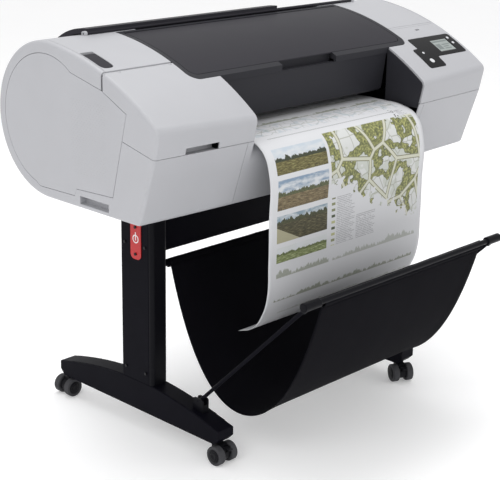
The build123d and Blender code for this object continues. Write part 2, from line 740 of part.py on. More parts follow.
# The ink door lifts at its rear seam; it wraps round the front and part of the end.
with BuildPart() as ink_door:
    add(shell)
    front_cover_zone((-half_width - 5, -opening_half - 2), panel_gap / 2, Mode.INTERSECT)
    with BuildPart(mode=Mode.PRIVATE) as edge_lip:
        add(outer)
        add(lip_inner, mode=Mode.SUBTRACT)
        front_cover_zone((-opening_half - 5, -opening_half - 2), panel_gap / 2, Mode.INTERSECT)
    add(edge_lip.part)
    window_zone(panel_gap, Mode.SUBTRACT)
    block(notch_x, (seam_y - 27, seam_y + 9), (seam_z, seam_z + 16), mode=Mode.SUBTRACT)
    cut_end_panel(-1)
    over_hinge = (door_axis_z - 40, crown_z)
    block((-half_width - 5, -opening_half), (door_axis_y, door_rear + 5), over_hinge, mode=Mode.SUBTRACT)
    rod((-half_width + 4, door_knuckles[1][0] - part_gap), door_axis_y, door_axis_z, door_barrel_r)
    for x in door_knuckles:
        room = (x[0] - part_gap, x[1] + part_gap)
        room_y = (door_axis_y - door_barrel_r - 1, door_rear)
        block(room, room_y, (door_axis_z - 9, crown_z), mode=Mode.SUBTRACT)
    rod((-half_width + 8, door_knuckles[1][1] + 2), door_axis_y, door_axis_z, pin_r)
save(ink_door, "ink_door")

# ---------------------------------------------------------------- window frame, lid and dark front
pocket_half = 104.0
with BuildPart() as window_frame:
    add(outer)
    add(frame_inner, mode=Mode.SUBTRACT)
    window_zone(0, Mode.INTERSECT)
    lid_room = window_half + lid_seam
    barrel_rear = lid_axis_y + lid_barrel_r + lid_seam
    plan_zone(lid_room, lid_front - lid_seam, barrel_rear, lid_corner + lid_seam, Mode.SUBTRACT)
    with BuildPart(mode=Mode.PRIVATE) as ledge:
        add(body_envelope(wall + 1.2))
        add(frame_inner, mode=Mode.SUBTRACT)
        upper = (body_under + 90, crown_z + 90)
        block((-lid_room - 2, lid_room + 2), (lid_front - 3, lid_axis_y - 14), upper, mode=Mode.INTERSECT)
        block((-window_half + 9, window_half - 9), (lid_front + 9, lid_axis_y), (body_under, crown_z + 90),
              mode=Mode.SUBTRACT)
    add(ledge.part)
    # The dark front hangs from the frame down to the exit slot.
    mask_top = top_height(frame_front) - wall
    prism((-opening_half + 4, opening_half - 4), [
        (frame_front + 0.5, mask_top), (frame_front + 4.5, mask_top), (mask_foot_y + 4, mask_foot_z + 6),
        (mask_foot_y + 16, mask_foot_z + 4), (mask_foot_y + 16, mask_foot_z), (mask_foot_y + 6, mask_foot_z),
        (mask_foot_y, mask_foot_z + 6)])
    pocket_rear = lid_front + 7
    pocket_low = mask_top - 12
    pocket_x = (-pocket_half, pocket_half)
    block(pocket_x, (frame_front - 9, pocket_rear), (pocket_low, crown_z), mode=Mode.SUBTRACT)
    block(pocket_x, (lid_front - 8, pocket_rear + 2), (pocket_low - 2, pocket_low))
    block(pocket_x, (pocket_rear, pocket_rear + 2), (pocket_low - 2, mask_top))
    rod((-window_half - 9, window_half + 9), lid_axis_y, lid_axis_z, pin_r + run_fit, mode=Mode.SUBTRACT)
save(window_frame, "window_frame")

with BuildPart() as window_lid:
    add(shell)
    plan_zone(window_half, lid_front, lid_axis_y, lid_corner, Mode.INTERSECT)
    rod((-window_half, window_half), lid_axis_y, lid_axis_z, lid_barrel_r)
    rod((-window_half - 8, window_half + 8), lid_axis_y, lid_axis_z, pin_r)
save(window_lid, "window_lid")

deck_z = 832.0
deck_rear = -290.0
with BuildPart() as inner_walls:
    add(body_envelope(wall + 1.5))
    over_deck = (deck_z + part_gap, crown_z + 50)
    block((-opening_half, opening_half), (-400, mask_foot_y - 16), over_deck, mode=Mode.INTERSECT)
    between = (-opening_half + wall, opening_half - wall)
    block(between, (-500, 400), (body_under, crown_z + 90), mode=Mode.SUBTRACT)
save(inner_walls, "inner_walls")

# ---------------------------------------------------------------- lower front, platen, back
lip_r = 36.0
with BuildPart() as centre_front:
    front_half = bay_half - panel_gap
    across = (-front_half - 5, front_half + 5)
    below_seam = (body_under - 9, seam_z - panel_gap / 2)
    for inset, mode in ((0, Mode.ADD), (wall, Mode.SUBTRACT)):
        with BuildPart(mode=Mode.PRIVATE) as solid:
            add(body_envelope(inset))
            block(across, (-500, 400), (body_under - 9, deck_z - inset), mode=Mode.INTERSECT)
            edge = solid.edges().filter_by(lambda e: e.length > front_half).filter_by(
                lambda e: abs(e.center().Z - deck_z + inset) < 0.1).sort_by(Axis.Y)[0]
            fillet(edge, radius=lip_r - inset)
        add(solid.part, mode=mode)
    block((-opening_half, opening_half), (-500, 400), (body_under - 9, crown_z), mode=Mode.INTERSECT)
    with BuildPart(mode=Mode.PRIVATE) as beside:
        add(shell)
        block((-front_half, front_half), (-500, 400), below_seam, mode=Mode.INTERSECT)
        block((-opening_half, opening_half), (-500, 400), (body_under - 9, crown_z), mode=Mode.SUBTRACT)
    add(beside.part)
    block(across, (-60 - panel_gap, 400), (body_under - 9, crown_z), mode=Mode.SUBTRACT)
    block(across, (deck_rear, 0), (body_under + 50, crown_z), mode=Mode.SUBTRACT)
save(centre_front, "centre_front")

platen_half = 319.0
feed_z = sheet_z - part_gap - feed_r
with BuildPart() as platen:
    block((-platen_half, platen_half), (deck_rear + 1, feed_y - feed_r - 4), (platen_z - 5, platen_z))
    block((-platen_half, platen_half), (feed_y + feed_r + 4, -12), (platen_z - 5, platen_z))
    for sign in (-1, 1):
        block(tuple(sorted((sign * (platen_half - 9), sign * platen_half))), (deck_rear + 1, -12),
              (platen_z - 34, platen_z))
    rod((-platen_half - 5, platen_half + 5), feed_y, feed_z, feed_shaft_r + run_fit, mode=Mode.SUBTRACT)
save(platen, "platen")

with BuildPart() as rear_cover:
    add(shell)
    rear_z = (body_under - 9, cover_rear_z - panel_gap)
    block((-cap_x + panel_gap, cap_x - panel_gap), (-60 + panel_gap, 400), rear_z, mode=Mode.INTERSECT)
    block(socket_x, (150, 400), socket_z, mode=Mode.SUBTRACT)
save(rear_cover, "rear_cover")


# ---------------------------------------------------------------- chassis and what it carries
plate_x = 335.0          # inner face of the chassis's side plates
plate_thick = 2.5
rail_half = 603.0        # the rail ends at the inner faces of two uprights
spindle_z = sheet_z + sheet_thick + part_gap + roll_r
with BuildPart() as chassis:
    base = body_under + wall + 0.5
    block((-cap_x + 8, cap_x - 8), (-235, 70), (base, base + 2.5))
    for sign in (-1, 1):
        x = tuple(sorted((sign * plate_x, sign * (plate_x + plate_thick))))
        prism(x, [
            (-225, base + 2), (-225, platen_z - 46), (-40, platen_z - 10), (-20, spindle_z + 24),
            (spindle_y + 30, spindle_z + 24), (spindle_y + 60, spindle_z - 20),
            (spindle_y + 60, 770), (70, base + 2),
        ])
        block((x[0] - 1, x[1] + 1), (spindle_y - spindle_r - run_fit, spindle_y + spindle_r + run_fit),
              (spindle_z, spindle_z + 40), mode=Mode.SUBTRACT)
        rod((x[0] - 1, x[1] + 1), spindle_y, spindle_z, spindle_r + run_fit, mode=Mode.SUBTRACT)
        rod((x[0] - 1, x[1] + 1), feed_y, feed_z, feed_shaft_r + run_fit, mode=Mode.SUBTRACT)
    # Uprights at the ends carry the rail of the carriage.
    for sign in (-1, 1):
        x = tuple(sorted((sign * rail_half, sign * (rail_half + 4))))
        prism(x, [(-200, base + 2), (-120, belt_z + 22), (-62, belt_z + 22), (-40, base + 2)])
save(chassis, "chassis")

with BuildPart() as carriage_rail:
    rod((-rail_half, rail_half), rail_y, rail_z, rail_r)
save(carriage_rail, "carriage_rail")

carriage_x = (carriage_rest_x - carriage_width / 2, carriage_rest_x + carriage_width / 2)
carriage_low = platen_z + 13
belt_low = belt_z - pulley_r - belt_thick
with BuildPart() as carriage:
    block(carriage_x, (-186, -92), (carriage_low, rail_z + 22))
    fillet(carriage.edges().filter_by(Axis.X), 6)
    block(carriage_x, (-100, rail_y + rail_r + 6), (rail_z - 14, rail_z + 22))
    block((carriage_x[0] + 30, carriage_x[1] - 30), (belt_y - 8, belt_y + 8), (rail_z + 20, belt_z - 2))
    block((carriage_x[0] + 20, carriage_x[1] - 20), (belt_y - 4.4, belt_y + 4.4),
          (belt_low - part_gap, belt_low + belt_thick + part_gap), mode=Mode.SUBTRACT)
    rod((carriage_x[0] - 5, carriage_x[1] + 5), rail_y, rail_z, rail_r + run_fit, mode=Mode.SUBTRACT)
save(carriage, "carriage")

with BuildPart() as drive_belt:
    with BuildSketch(Plane.XZ.offset(-py(belt_y) - 4)):
        with Locations((0, belt_z)):
            SlotCenterToCenter(2 * belt_end_x, 2 * (pulley_r + part_gap + belt_thick))
            SlotCenterToCenter(2 * belt_end_x, 2 * (pulley_r + part_gap), mode=Mode.SUBTRACT)
    extrude(amount=8)
save(drive_belt, "drive_belt")


def pulley(x, label):
    """A flanged belt pulley on an upright shaft."""
    with BuildPart() as piece:
        with Locations((x, py(belt_y), belt_z)):
            Cylinder(pulley_r, 9, rotation=(90, 0, 0))
        with Locations((x, py(belt_y - 6), belt_z), (x, py(belt_y + 6), belt_z)):
            Cylinder(pulley_r + 3, 2, rotation=(90, 0, 0))
            Cylinder(2.0, 10, rotation=(90, 0, 0))
    save(piece, label)


pulley(belt_end_x, "motor_pulley")
pulley(-belt_end_x, "idler_pulley")

with BuildPart() as feed_roller:
    rod((-platen_half + 12, platen_half - 12), feed_y, feed_z, feed_r)
    rod((-plate_x - 12, plate_x + 26), feed_y, feed_z, feed_shaft_r)
    rod((plate_x + plate_thick + 4, plate_x + plate_thick + 12), feed_y, feed_z, 24)
save(feed_roller, "feed_roller")

pinch_z = sheet_z + sheet_thick + part_gap + pinch_r
with BuildPart() as pinch_rollers:
    rod((-platen_half + 2, platen_half - 2), feed_y, pinch_z, pinch_shaft_r)
    pitch = 2 * (platen_half - 45) / (pinch_count - 1)
    for number in range(pinch_count):
        x = -platen_half + 45 + number * pitch
        rod((x - 14, x + 14), feed_y, pinch_z, pinch_r)
save(pinch_rollers, "pinch_rollers")

with BuildPart() as pinch_bar:
    bar_low = pinch_z + pinch_r + 3
    block((-platen_half, platen_half), (feed_y - 9, feed_y + 9), (bar_low, bar_low + 9))
    for number in range(pinch_count - 1):
        x = -platen_half + 45 + (number + 0.5) * pitch
        block((x - 4, x + 4), (feed_y - 6, feed_y + 6), (pinch_z - 4, pinch_z + pinch_r + 5))
    rod((-platen_half - 5, platen_half + 5), feed_y, pinch_z, pinch_shaft_r + run_fit, mode=Mode.SUBTRACT)
save(pinch_bar, "pinch_bar")

with BuildPart() as media_roll:
    rod((-sheet_half, sheet_half), spindle_y, spindle_z, roll_r)
    rod((-sheet_half, sheet_half), spindle_y, spindle_z, core_r + 0.1, mode=Mode.SUBTRACT)
save(media_roll, "media_roll")

with BuildPart() as spindle:
    rod((-plate_x - 14, plate_x + 14), spindle_y, spindle_z, spindle_r)
    for sign in (-1, 1):
        seat = sorted((sign * (sheet_half - 45), sign * (sheet_half + 0.2)))
        flange = sorted((sign * (sheet_half + 0.2), sign * (sheet_half + 6)))
        rod(seat, spindle_y, spindle_z, core_r)
        rod(flange, spindle_y, spindle_z, flange_r)
save(spindle, "spindle")

# The roll cover: a curved shell over the round back, raised and ribbed over most of its length.
cover_thick = 3.0
cover_raise = 10.0
cover_low_r = back_r + cover_gap
cover_high_r = cover_low_r + cover_raise
cover_out_r = cover_high_r + cover_thick
cover_step = 180.0       # the raised part ends here, on the right
rib_high = 2.2
rib_count = 22
rib_pitch = 3.7          # degrees
rib_spans = ((-cover_half + 12, -190), (-112, 145))
cover_start = 90.0       # degrees above level, at the hinge
cover_stop = -20.5


def cover_arc(x, inner_r, outer_r, start=cover_start, stop=cover_stop):
    """A piece of shell around the round back, between two X limits and two angles."""
    far = 2 * outer_r
    with BuildSketch(Plane.YZ.offset(x[0])) as arc:
        with Locations(side(back_y, back_z)):
            Circle(outer_r)
            Circle(inner_r, mode=Mode.SUBTRACT)
        with BuildLine():
            Polyline(
                side(back_y, back_z),
                side(back_y + far * cos(radians(start)), back_z + far * sin(radians(start))),
                side(back_y + far, back_z + far * sin(radians((start + stop) / 2))),
                side(back_y + far * cos(radians(stop)), back_z + far * sin(radians(stop))),
                close=True,
            )
        make_face(mode=Mode.INTERSECT)
    extrude(arc.sketch, amount=x[1] - x[0])


with BuildPart() as roll_cover:
    cover_arc((-cover_half, cover_step), cover_high_r, cover_out_r)
    cover_arc((cover_step, cover_half), cover_low_r, cover_low_r + cover_thick)
    for x in ((-cover_half, -cover_half + cover_thick), (cover_step - cover_thick, cover_step)):
        cover_arc(x, cover_low_r, cover_out_r)
    cover_arc((-cover_half, cover_step), cover_low_r, cover_out_r, cover_start, cover_start - 1)
    cover_arc((-cover_half, cover_step), cover_low_r, cover_out_r, cover_stop + 1, cover_stop)
    for x in rib_spans:
        with BuildSketch(Plane.YZ.offset(x[0])):
            with Locations(side(back_y, back_z)):
                with PolarLocations(cover_out_r + rib_high / 2 - 0.2, rib_count, 6, rib_pitch):
                    Rectangle(rib_high + 0.4, 3)
        extrude(amount=x[1] - x[0])
    rod((-cover_half, cover_half), roll_hinge_y, roll_axis_z, roll_barrel_r)
    rod((-cover_half - 8, cover_half + 8), roll_hinge_y, roll_axis_z, pin_r)
save(roll_cover, "roll_cover")

lever_thick = 6.0
lever_gap = 1.2
lever_swing_gap = 4.2    # the front end moves forward a little as it lifts
with BuildPart() as load_lever:
    add(body_envelope(0.8))
    add(body_envelope(0.8 + lever_thick), mode=Mode.SUBTRACT)
    lever_outline(lever_gap, crown_z - 150, Mode.INTERSECT)
    reach_y = (recess_y[0] + lever_swing_gap, lever_pin_y)
    block(recess_x, reach_y, (crown_z - 150, crown_z), mode=Mode.INTERSECT)
    rod((recess_x[0] + lever_gap, recess_x[1] - lever_gap), lever_pin_y, lever_pin_z, lever_barrel_r)
    rod((recess_x[0] - 1.5, recess_x[1] + 1.5), lever_pin_y, lever_pin_z, pin_r)
save(load_lever, "load_lever")

# ---------------------------------------------------------------- control panel
bezel_rise = 1.0
with BuildPart() as control_bezel:
    with BuildSketch(Plane.YZ.offset(panel_points[5][0] - 20)):
        with Locations(side(top_y, top_z)):
            Circle(top_r + bezel_rise)
            Circle(top_r - wall, mode=Mode.SUBTRACT)
    extrude(amount=260)
    panel_zone(0, Mode.INTERSECT)
screen_y = (-271.0, -225.0)
screen_x = (506.0, 581.0)
screen_high = 52.0       # along the slope of the top
button_places = {
    "power_button": (433.0, -293.0, 8.0),
    "feed_button": (429.0, -264.0, 4.0),
    "menu_button": (593.0, -225.0, 4.5),
    "back_button": (593.0, -246.0, 4.5),
}


def on_top(x, depth, lift=0.0):
    """A plane lying on the printer's top surface at a place, its normal leaving the surface."""
    slope = radians(top_slope(depth))
    normal = (0, -sin(slope), cos(slope))
    centre = (x, py(depth) + lift * normal[1], top_height(depth) + lift * normal[2])
    return Plane(origin=centre, x_dir=(1, 0, 0), z_dir=normal)


screen_mid = ((screen_x[0] + screen_x[1]) / 2, (screen_y[0] + screen_y[1]) / 2)
screen_size = (screen_x[1] - screen_x[0], screen_high)
with BuildPart(on_top(*screen_mid)) as screen_cut:
    Box(screen_size[0] + 0.4, screen_size[1] + 0.4, 20)
with BuildPart() as cut_bezel:
    add(control_bezel.part)
    add(screen_cut.part, mode=Mode.SUBTRACT)
    for x, depth, radius in button_places.values():
        with BuildPart(on_top(x, depth), mode=Mode.PRIVATE) as hole:
            Cylinder(radius + part_gap, 20)
        add(hole.part, mode=Mode.SUBTRACT)
save(cut_bezel, "control_bezel")

with BuildPart(on_top(*screen_mid, lift=-1.2)) as lcd_screen:
    Box(*screen_size, 2.4)
save(lcd_screen, "lcd_screen")

for label, (x, depth, radius) in button_places.items():
    with BuildPart(on_top(x, depth, lift=-0.2)) as button:
        Cylinder(radius, 4.4)
        fillet(button.edges().group_by(Axis.Z)[-1], 0.8)
    save(button, label)

# ---------------------------------------------------------------- ink supply, service station, electronics
bay_x = (-600.0, -352.0)
bay_y = (-306.0, -198.0)
cartridge_count = 6
bay_wall = 2.0
bay_low = seam_z - 6
cartridge_high = 52.0
with BuildPart() as cartridge_bay:
    block(bay_x, bay_y, (bay_low, bay_low + cartridge_high))
    slot_pitch = (bay_x[1] - bay_x[0] - bay_wall) / cartridge_count
    for number in range(cartridge_count):
        left = bay_x[0] + bay_wall + number * slot_pitch
        block((left, left + slot_pitch - bay_wall), (bay_y[0] - 1, bay_y[1] - bay_wall),
              (bay_low + bay_wall, bay_low + cartridge_high + 1), mode=Mode.SUBTRACT)
save(cartridge_bay, "cartridge_bay")

with BuildPart() as ink_cartridges:
    for number in range(cartridge_count):
        left = bay_x[0] + bay_wall + number * slot_pitch
        block((left + 0.5, left + slot_pitch - bay_wall - 0.5), (bay_y[0] + 2, bay_y[1] - bay_wall - 0.5),
              (bay_low + bay_wall, bay_low + cartridge_high + 3))
save(ink_cartridges, "ink_cartridges")

with BuildPart() as service_station:
    block((carriage_x[0] - 10, carriage_x[1] + 10), (-200, -90), (base + 2.5, platen_z + 2))
    block((carriage_x[0], carriage_x[1]), (-190, -100), (platen_z - 24, platen_z + 5), mode=Mode.SUBTRACT)
    for number in range(4):
        x = carriage_x[0] + 14 + number * 27
        block((x - 9, x + 9), (-180, -110), (platen_z - 25, platen_z + 6))
save(service_station, "service_station")

with BuildPart() as electronics_box:
    block((400, 590), (-20, 60), (base + 2.5, 860))
    fillet(electronics_box.edges().filter_by(Axis.Z), 4)
save(electronics_box, "electronics_box")

inlet_x = 450.0
switch_x = 490.0
jack_x = 520.0
socket_y = 192.0         # face of the recessed plate
socket_mid = (socket_z[0] + socket_z[1]) / 2
socket_wall = 2.5
switch_pin_r = 0.9
switch_axis_y = socket_y - socket_wall / 2
inlet_half = (14.0, 11.0)
inlet_mouth = (11.5, 8.0)
with BuildPart() as socket_panel:
    block((socket_x[0] - socket_wall, socket_x[1] + socket_wall), (socket_y - socket_wall, 260),
          (socket_z[0] - socket_wall, socket_z[1] + socket_wall))
    block(socket_x, (socket_y, 262), socket_z, mode=Mode.SUBTRACT)
    with BuildPart(mode=Mode.PRIVATE) as room:
        add(body_envelope(wall + part_gap))
    add(room.part, mode=Mode.INTERSECT)
    block((inlet_x - inlet_half[0], inlet_x + inlet_half[0]), (socket_y - 20, socket_y + 4),
          (socket_mid - inlet_half[1], socket_mid + inlet_half[1]))
    block((inlet_x - inlet_mouth[0], inlet_x + inlet_mouth[0]), (socket_y - 16, socket_y + 9),
          (socket_mid - inlet_mouth[1], socket_mid + inlet_mouth[1]), mode=Mode.SUBTRACT)
    block((switch_x - 7, switch_x + 7), (socket_y - 14, socket_y + 4), (socket_mid - 11, socket_mid + 11),
          mode=Mode.SUBTRACT)
    block((jack_x - 8, jack_x + 8), (socket_y - 14, socket_y + 4), (socket_mid - 7, socket_mid + 7),
          mode=Mode.SUBTRACT)
    for x in (inlet_x - 6, inlet_x, inlet_x + 6):
        block((x - 1, x + 1), (socket_y - 17, socket_y - 3), (socket_mid - 3, socket_mid + 3))
    rod((switch_x - 9, switch_x + 9), switch_axis_y, socket_mid, switch_pin_r + run_fit, mode=Mode.SUBTRACT)
save(socket_panel, "socket_panel")

with BuildPart() as power_switch:
    with BuildSketch(Plane.YZ.offset(switch_x - 6)):
        with BuildLine():
            Polyline(side(socket_y - 6, socket_mid - 9), side(socket_y + 2.2, socket_mid - 9.5),
                     side(socket_y + 0.4, socket_mid), side(socket_y + 3.2, socket_mid + 9),
                     side(socket_y - 6, socket_mid + 9), close=True)
        make_face()
    extrude(amount=12)
    rod((switch_x - 8.5, switch_x + 8.5), switch_axis_y, socket_mid, switch_pin_r)
save(power_switch, "power_switch")

# ---------------------------------------------------------------- the sheet
hang_y = -375.0
sheet_low = 449.0
with BuildPart() as printed_sheet:
    with BuildSketch(Plane.YZ.offset(-sheet_half)):
        middle = sheet_z + sheet_thick / 2
        with BuildLine() as sheet_line:
            Line(side(spindle_y - 4, middle), side(-230, middle))
            Spline(
                side(-230, middle),
                side(-300, middle - 5),
                side(-348, middle - 26),
                side(-372, middle - 72),
                side(hang_y, middle - 170),
                side(hang_y - 2, sheet_low + 90),
                side(hang_y + 2, sheet_low),
                side(-358, 399),
                side(-326, 357),
                side(-278, 336),
                tangents=((-1, 0), (1, -0.1)),
            )
        trace(line_width=sheet_thick)
    extrude(amount=2 * sheet_half)
print("length of the sheet", round(sum(edge.length for edge in sheet_line.edges()), 1))
save(printed_sheet, "printed_sheet")
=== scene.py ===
# %% [markdown]
# A large format plotter, finished in Blender around its CAD model.
# The CAD model holds every hard piece at its true size, with its joints. This script gives those
# pieces their materials, and builds what CAD can't hold well: the hanging print, the cloth of the
# catch bin, and small details such as wheel caps and icons. Lengths are in metres.

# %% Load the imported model
import json
import math

import bpy
from mathutils import Matrix, Vector


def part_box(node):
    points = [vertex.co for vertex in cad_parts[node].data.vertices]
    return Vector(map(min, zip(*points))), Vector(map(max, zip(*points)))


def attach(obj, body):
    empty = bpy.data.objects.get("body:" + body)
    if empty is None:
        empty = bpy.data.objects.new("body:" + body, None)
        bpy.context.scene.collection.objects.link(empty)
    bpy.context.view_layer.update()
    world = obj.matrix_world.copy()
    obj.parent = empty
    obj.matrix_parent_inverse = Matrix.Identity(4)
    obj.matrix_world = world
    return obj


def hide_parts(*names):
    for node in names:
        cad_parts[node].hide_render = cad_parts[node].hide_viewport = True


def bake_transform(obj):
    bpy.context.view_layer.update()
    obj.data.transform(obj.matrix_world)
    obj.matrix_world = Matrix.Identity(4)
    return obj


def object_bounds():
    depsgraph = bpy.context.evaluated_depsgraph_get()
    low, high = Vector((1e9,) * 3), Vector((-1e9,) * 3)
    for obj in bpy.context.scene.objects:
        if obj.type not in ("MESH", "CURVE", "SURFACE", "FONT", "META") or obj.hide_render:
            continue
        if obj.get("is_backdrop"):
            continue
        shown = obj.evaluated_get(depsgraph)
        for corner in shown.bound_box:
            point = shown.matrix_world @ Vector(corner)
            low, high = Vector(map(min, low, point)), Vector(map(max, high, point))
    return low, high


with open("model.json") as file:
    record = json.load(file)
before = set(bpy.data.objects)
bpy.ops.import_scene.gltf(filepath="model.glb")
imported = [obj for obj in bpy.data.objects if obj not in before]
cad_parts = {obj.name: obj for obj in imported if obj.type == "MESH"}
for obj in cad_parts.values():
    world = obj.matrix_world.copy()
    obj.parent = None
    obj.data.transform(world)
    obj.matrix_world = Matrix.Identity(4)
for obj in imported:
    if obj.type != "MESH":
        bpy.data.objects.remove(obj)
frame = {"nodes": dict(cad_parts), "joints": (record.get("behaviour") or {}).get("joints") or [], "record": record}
cad_low, cad_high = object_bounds()
print("the model is", [round(high - low, 3) for low, high in zip(cad_low, cad_high)], "m")

# %% [markdown]
# Shader maths reads best as sums. A small class wraps a node's output socket, so that an
# expression such as 1 - mask * 0.5 adds its own Math nodes. Colours go through a Mix node instead,
# because a Math node turns a colour grey.

# %% A shader value that can be used in sums
class Value:
    def __init__(self, shop, socket):
        self.shop = shop
        self.socket = socket

    def _math(self, operation, first, second=0.0):
        return self.shop.node("ShaderNodeMath", {"operation": operation}, {0: first, 1: second})

    def __add__(self, other):
        return self._math("ADD", self, other)

    __radd__ = __add__

    def __sub__(self, other):
        return self._math("SUBTRACT", self, other)

    def __rsub__(self, other):
        return self._math("SUBTRACT", other, self)

    def __mul__(self, other):
        return self._math("MULTIPLY", self, other)

    __rmul__ = __mul__

    def __truediv__(self, other):
        return self._math("DIVIDE", self, other)

    def __lt__(self, other):
        return self._math("LESS_THAN", self, other)

    def __gt__(self, other):
        return self._math("GREATER_THAN", self, other)

    def __mod__(self, other):
        return self._math("FLOORED_MODULO", self, other)

    def floor(self):
        return self._math("FLOOR", self)

    def size(self):
        return self._math("ABSOLUTE", self)

    def power(self, other):
        return self._math("POWER", self, other)

    def sine(self):
        return self._math("SINE", self)

    def least(self, other):
        return self._math("MINIMUM", self, other)


# %% [markdown]
# Each finish starts in the same workshop: a new material, its coordinates, and one method that
# adds any node from its type, its settings and what goes into its sockets.

# %% The workshop where a material is made
class Finish:
    def __init__(self, name):
        self.material = bpy.data.materials.new(name)
        self.material.use_nodes = True
        self.tree = self.material.node_tree
        self.surface = self.tree.nodes["Principled BSDF"]
        self.places = self.tree.nodes.new("ShaderNodeTexCoord")

    def link(self, value, socket):
        if isinstance(value, Value):
            self.tree.links.new(value.socket, socket)
        else:
            socket.default_value = value

    def node(self, kind, settings=None, inputs=None, output=0):
        made = self.tree.nodes.new(kind)
        for key, setting in (settings or {}).items():
            setattr(made, key, setting)
        for key, value in (inputs or {}).items():
            self.link(value, made.inputs[key])
        return Value(self, made.outputs[output])

    def object_place(self):
        return Value(self, self.places.outputs["Object"])

    def sheet_place(self):
        return Value(self, self.places.outputs["UV"])

    def split(self, place):
        parts = self.tree.nodes.new("ShaderNodeSeparateXYZ")
        self.link(place, parts.inputs[0])
        return [Value(self, parts.outputs[axis]) for axis in range(3)]

    def join(self, x, y, z=0.0):
        return self.node("ShaderNodeCombineXYZ", inputs={0: x, 1: y, 2: z})

    def noise(self, scale, detail=3.0, place=None, roughness=0.5):
        place = place or self.object_place()
        inputs = {"Vector": place, "Scale": scale, "Detail": detail, "Roughness": roughness}
        return self.node("ShaderNodeTexNoise", inputs=inputs)

    def ramp(self, value, stops):
        made = self.tree.nodes.new("ShaderNodeValToRGB")
        bar = made.color_ramp
        while len(bar.elements) < len(stops):
            bar.elements.new(0.5)
        for element, (position, colour) in zip(bar.elements, stops):
            element.position = position
            element.color = (*colour, 1.0) if len(colour) == 3 else colour
        self.link(value, made.inputs[0])
        return Value(self, made.outputs[0])

    def blend(self, share, first, second):
        made = self.tree.nodes.new("ShaderNodeMix")
        made.data_type = "RGBA"
        self.link(share, made.inputs[0])
        for socket, colour in ((made.inputs[6], first), (made.inputs[7], second)):
            self.link(colour if isinstance(colour, Value) else (*colour, 1.0), socket)
        return Value(self, made.outputs[2])

    def bump(self, height, distance, strength=1.0):
        inputs = {"Height": height, "Distance": distance, "Strength": strength}
        self.link(self.node("ShaderNodeBump", inputs=inputs), self.surface.inputs["Normal"])

    def set(self, **sockets):
        for name, value in sockets.items():
            socket = self.surface.inputs[name.replace("_", " ")]
            self.link((*value, 1.0) if isinstance(value, tuple) and len(value) == 3 else value, socket)
        return self

# %% [markdown]
# Most of the machine is moulded plastic. Real mouldings have a fine spark-eroded grain, a faint
# unevenness in gloss where hands touch them, and a trace of colour variation. Noise at three
# scales gives all of that from Object coordinates, so it stays put when the piece moves.

# %% Moulded plastic
def moulded_plastic(name, colour, roughness, gloss=0.45, grain=0.00012, grain_scale=1100.0,
                    coat=0.0, spread=0.05):
    finish = Finish(name)
    cloud = finish.noise(7.0, 4.0)
    fine = finish.noise(grain_scale, 2.0)
    darker = tuple(channel * (1 - spread) for channel in colour)
    lighter = tuple(min(1.0, channel * (1 + spread)) for channel in colour)
    finish.set(
        Base_Color=finish.blend(cloud, darker, lighter),
        Roughness=roughness - 0.05 + cloud * 0.08 + fine * 0.04,
        Coat_Weight=coat,
        Coat_Roughness=0.15,
        Specular_IOR_Level=gloss,
    )
    finish.bump(fine, grain, 0.5)
    return finish


cover_colour = (0.415, 0.418, 0.440)
cover_finish = moulded_plastic("cover_grey", cover_colour, 0.42)
lid_finish = moulded_plastic("lid_grey", (0.026, 0.025, 0.031), 0.40, gloss=0.08)
frame_finish = moulded_plastic("frame_black", (0.026, 0.026, 0.031), 0.40, gloss=0.10)
trim_finish = moulded_plastic("trim_black", (0.005, 0.005, 0.007), 0.34, gloss=0.07)
caster_finish = moulded_plastic("caster_black", (0.007, 0.007, 0.009), 0.40, gloss=0.12)
carriage_finish = moulded_plastic("carriage_black", (0.016, 0.016, 0.019), 0.45, gloss=0.2)
button_finish = moulded_plastic("button_white", (0.62, 0.63, 0.65), 0.35, grain_scale=2000.0)
gloss_finish = moulded_plastic("bezel_black", (0.002, 0.002, 0.003), 0.16, gloss=0.10,
                               grain=0.00001, coat=0.05)

# %% [markdown]
# The loose panel on each end carries a field of tiny raised dots over its front half. They are far
# too many to model, so a bump pattern repeats one dot over a diagonal grid, and a mask keeps it in
# its field.

# %% The dotted end panel
panel_low, panel_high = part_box("left_side_panel")
dotted_finish = moulded_plastic("panel_grey", cover_colour, 0.42)
panel_x, panel_y, panel_z = dotted_finish.split(dotted_finish.object_place())
dot_pitch = 0.011
across = ((panel_y + panel_z) % dot_pitch) - dot_pitch / 2
along = ((panel_y - panel_z) % dot_pitch) - dot_pitch / 2
from_dot = (across * across + along * along).power(0.5)
dot = 1 - (from_dot / 0.0022).least(1.0)
field_front = panel_low[1] + 0.075
field_rear = panel_low[1] + 0.20
in_field = (panel_y > field_front) * (panel_y < field_rear)
in_field = in_field * (panel_z > panel_low[2] + 0.06) * (panel_z < panel_high[2] - 0.09)
dotted_grain = dotted_finish.noise(1100.0, 2.0)
dotted_finish.bump(dotted_grain * 0.1 + dot.power(0.7) * in_field, 0.0006, 0.8)
print("dots on each end panel about", round((field_rear - field_front) * 0.18 / dot_pitch**2 * 2))

# %% [markdown]
# The stand is powder-coated steel: black, with the slight orange peel that powder leaves when it
# melts, so the bump is broader than a moulding's grain.

# %% Metals
def coated_metal(name, colour, roughness):
    finish = Finish(name)
    peel = finish.noise(320.0, 2.0)
    wear = finish.noise(18.0, 5.0)
    finish.set(
        Base_Color=finish.blend(wear, colour, tuple(channel * 1.5 for channel in colour)),
        Roughness=roughness + peel * 0.1 - wear * 0.06,
        Specular_IOR_Level=0.04,
    )
    finish.bump(peel, 0.00025, 0.35)
    return finish


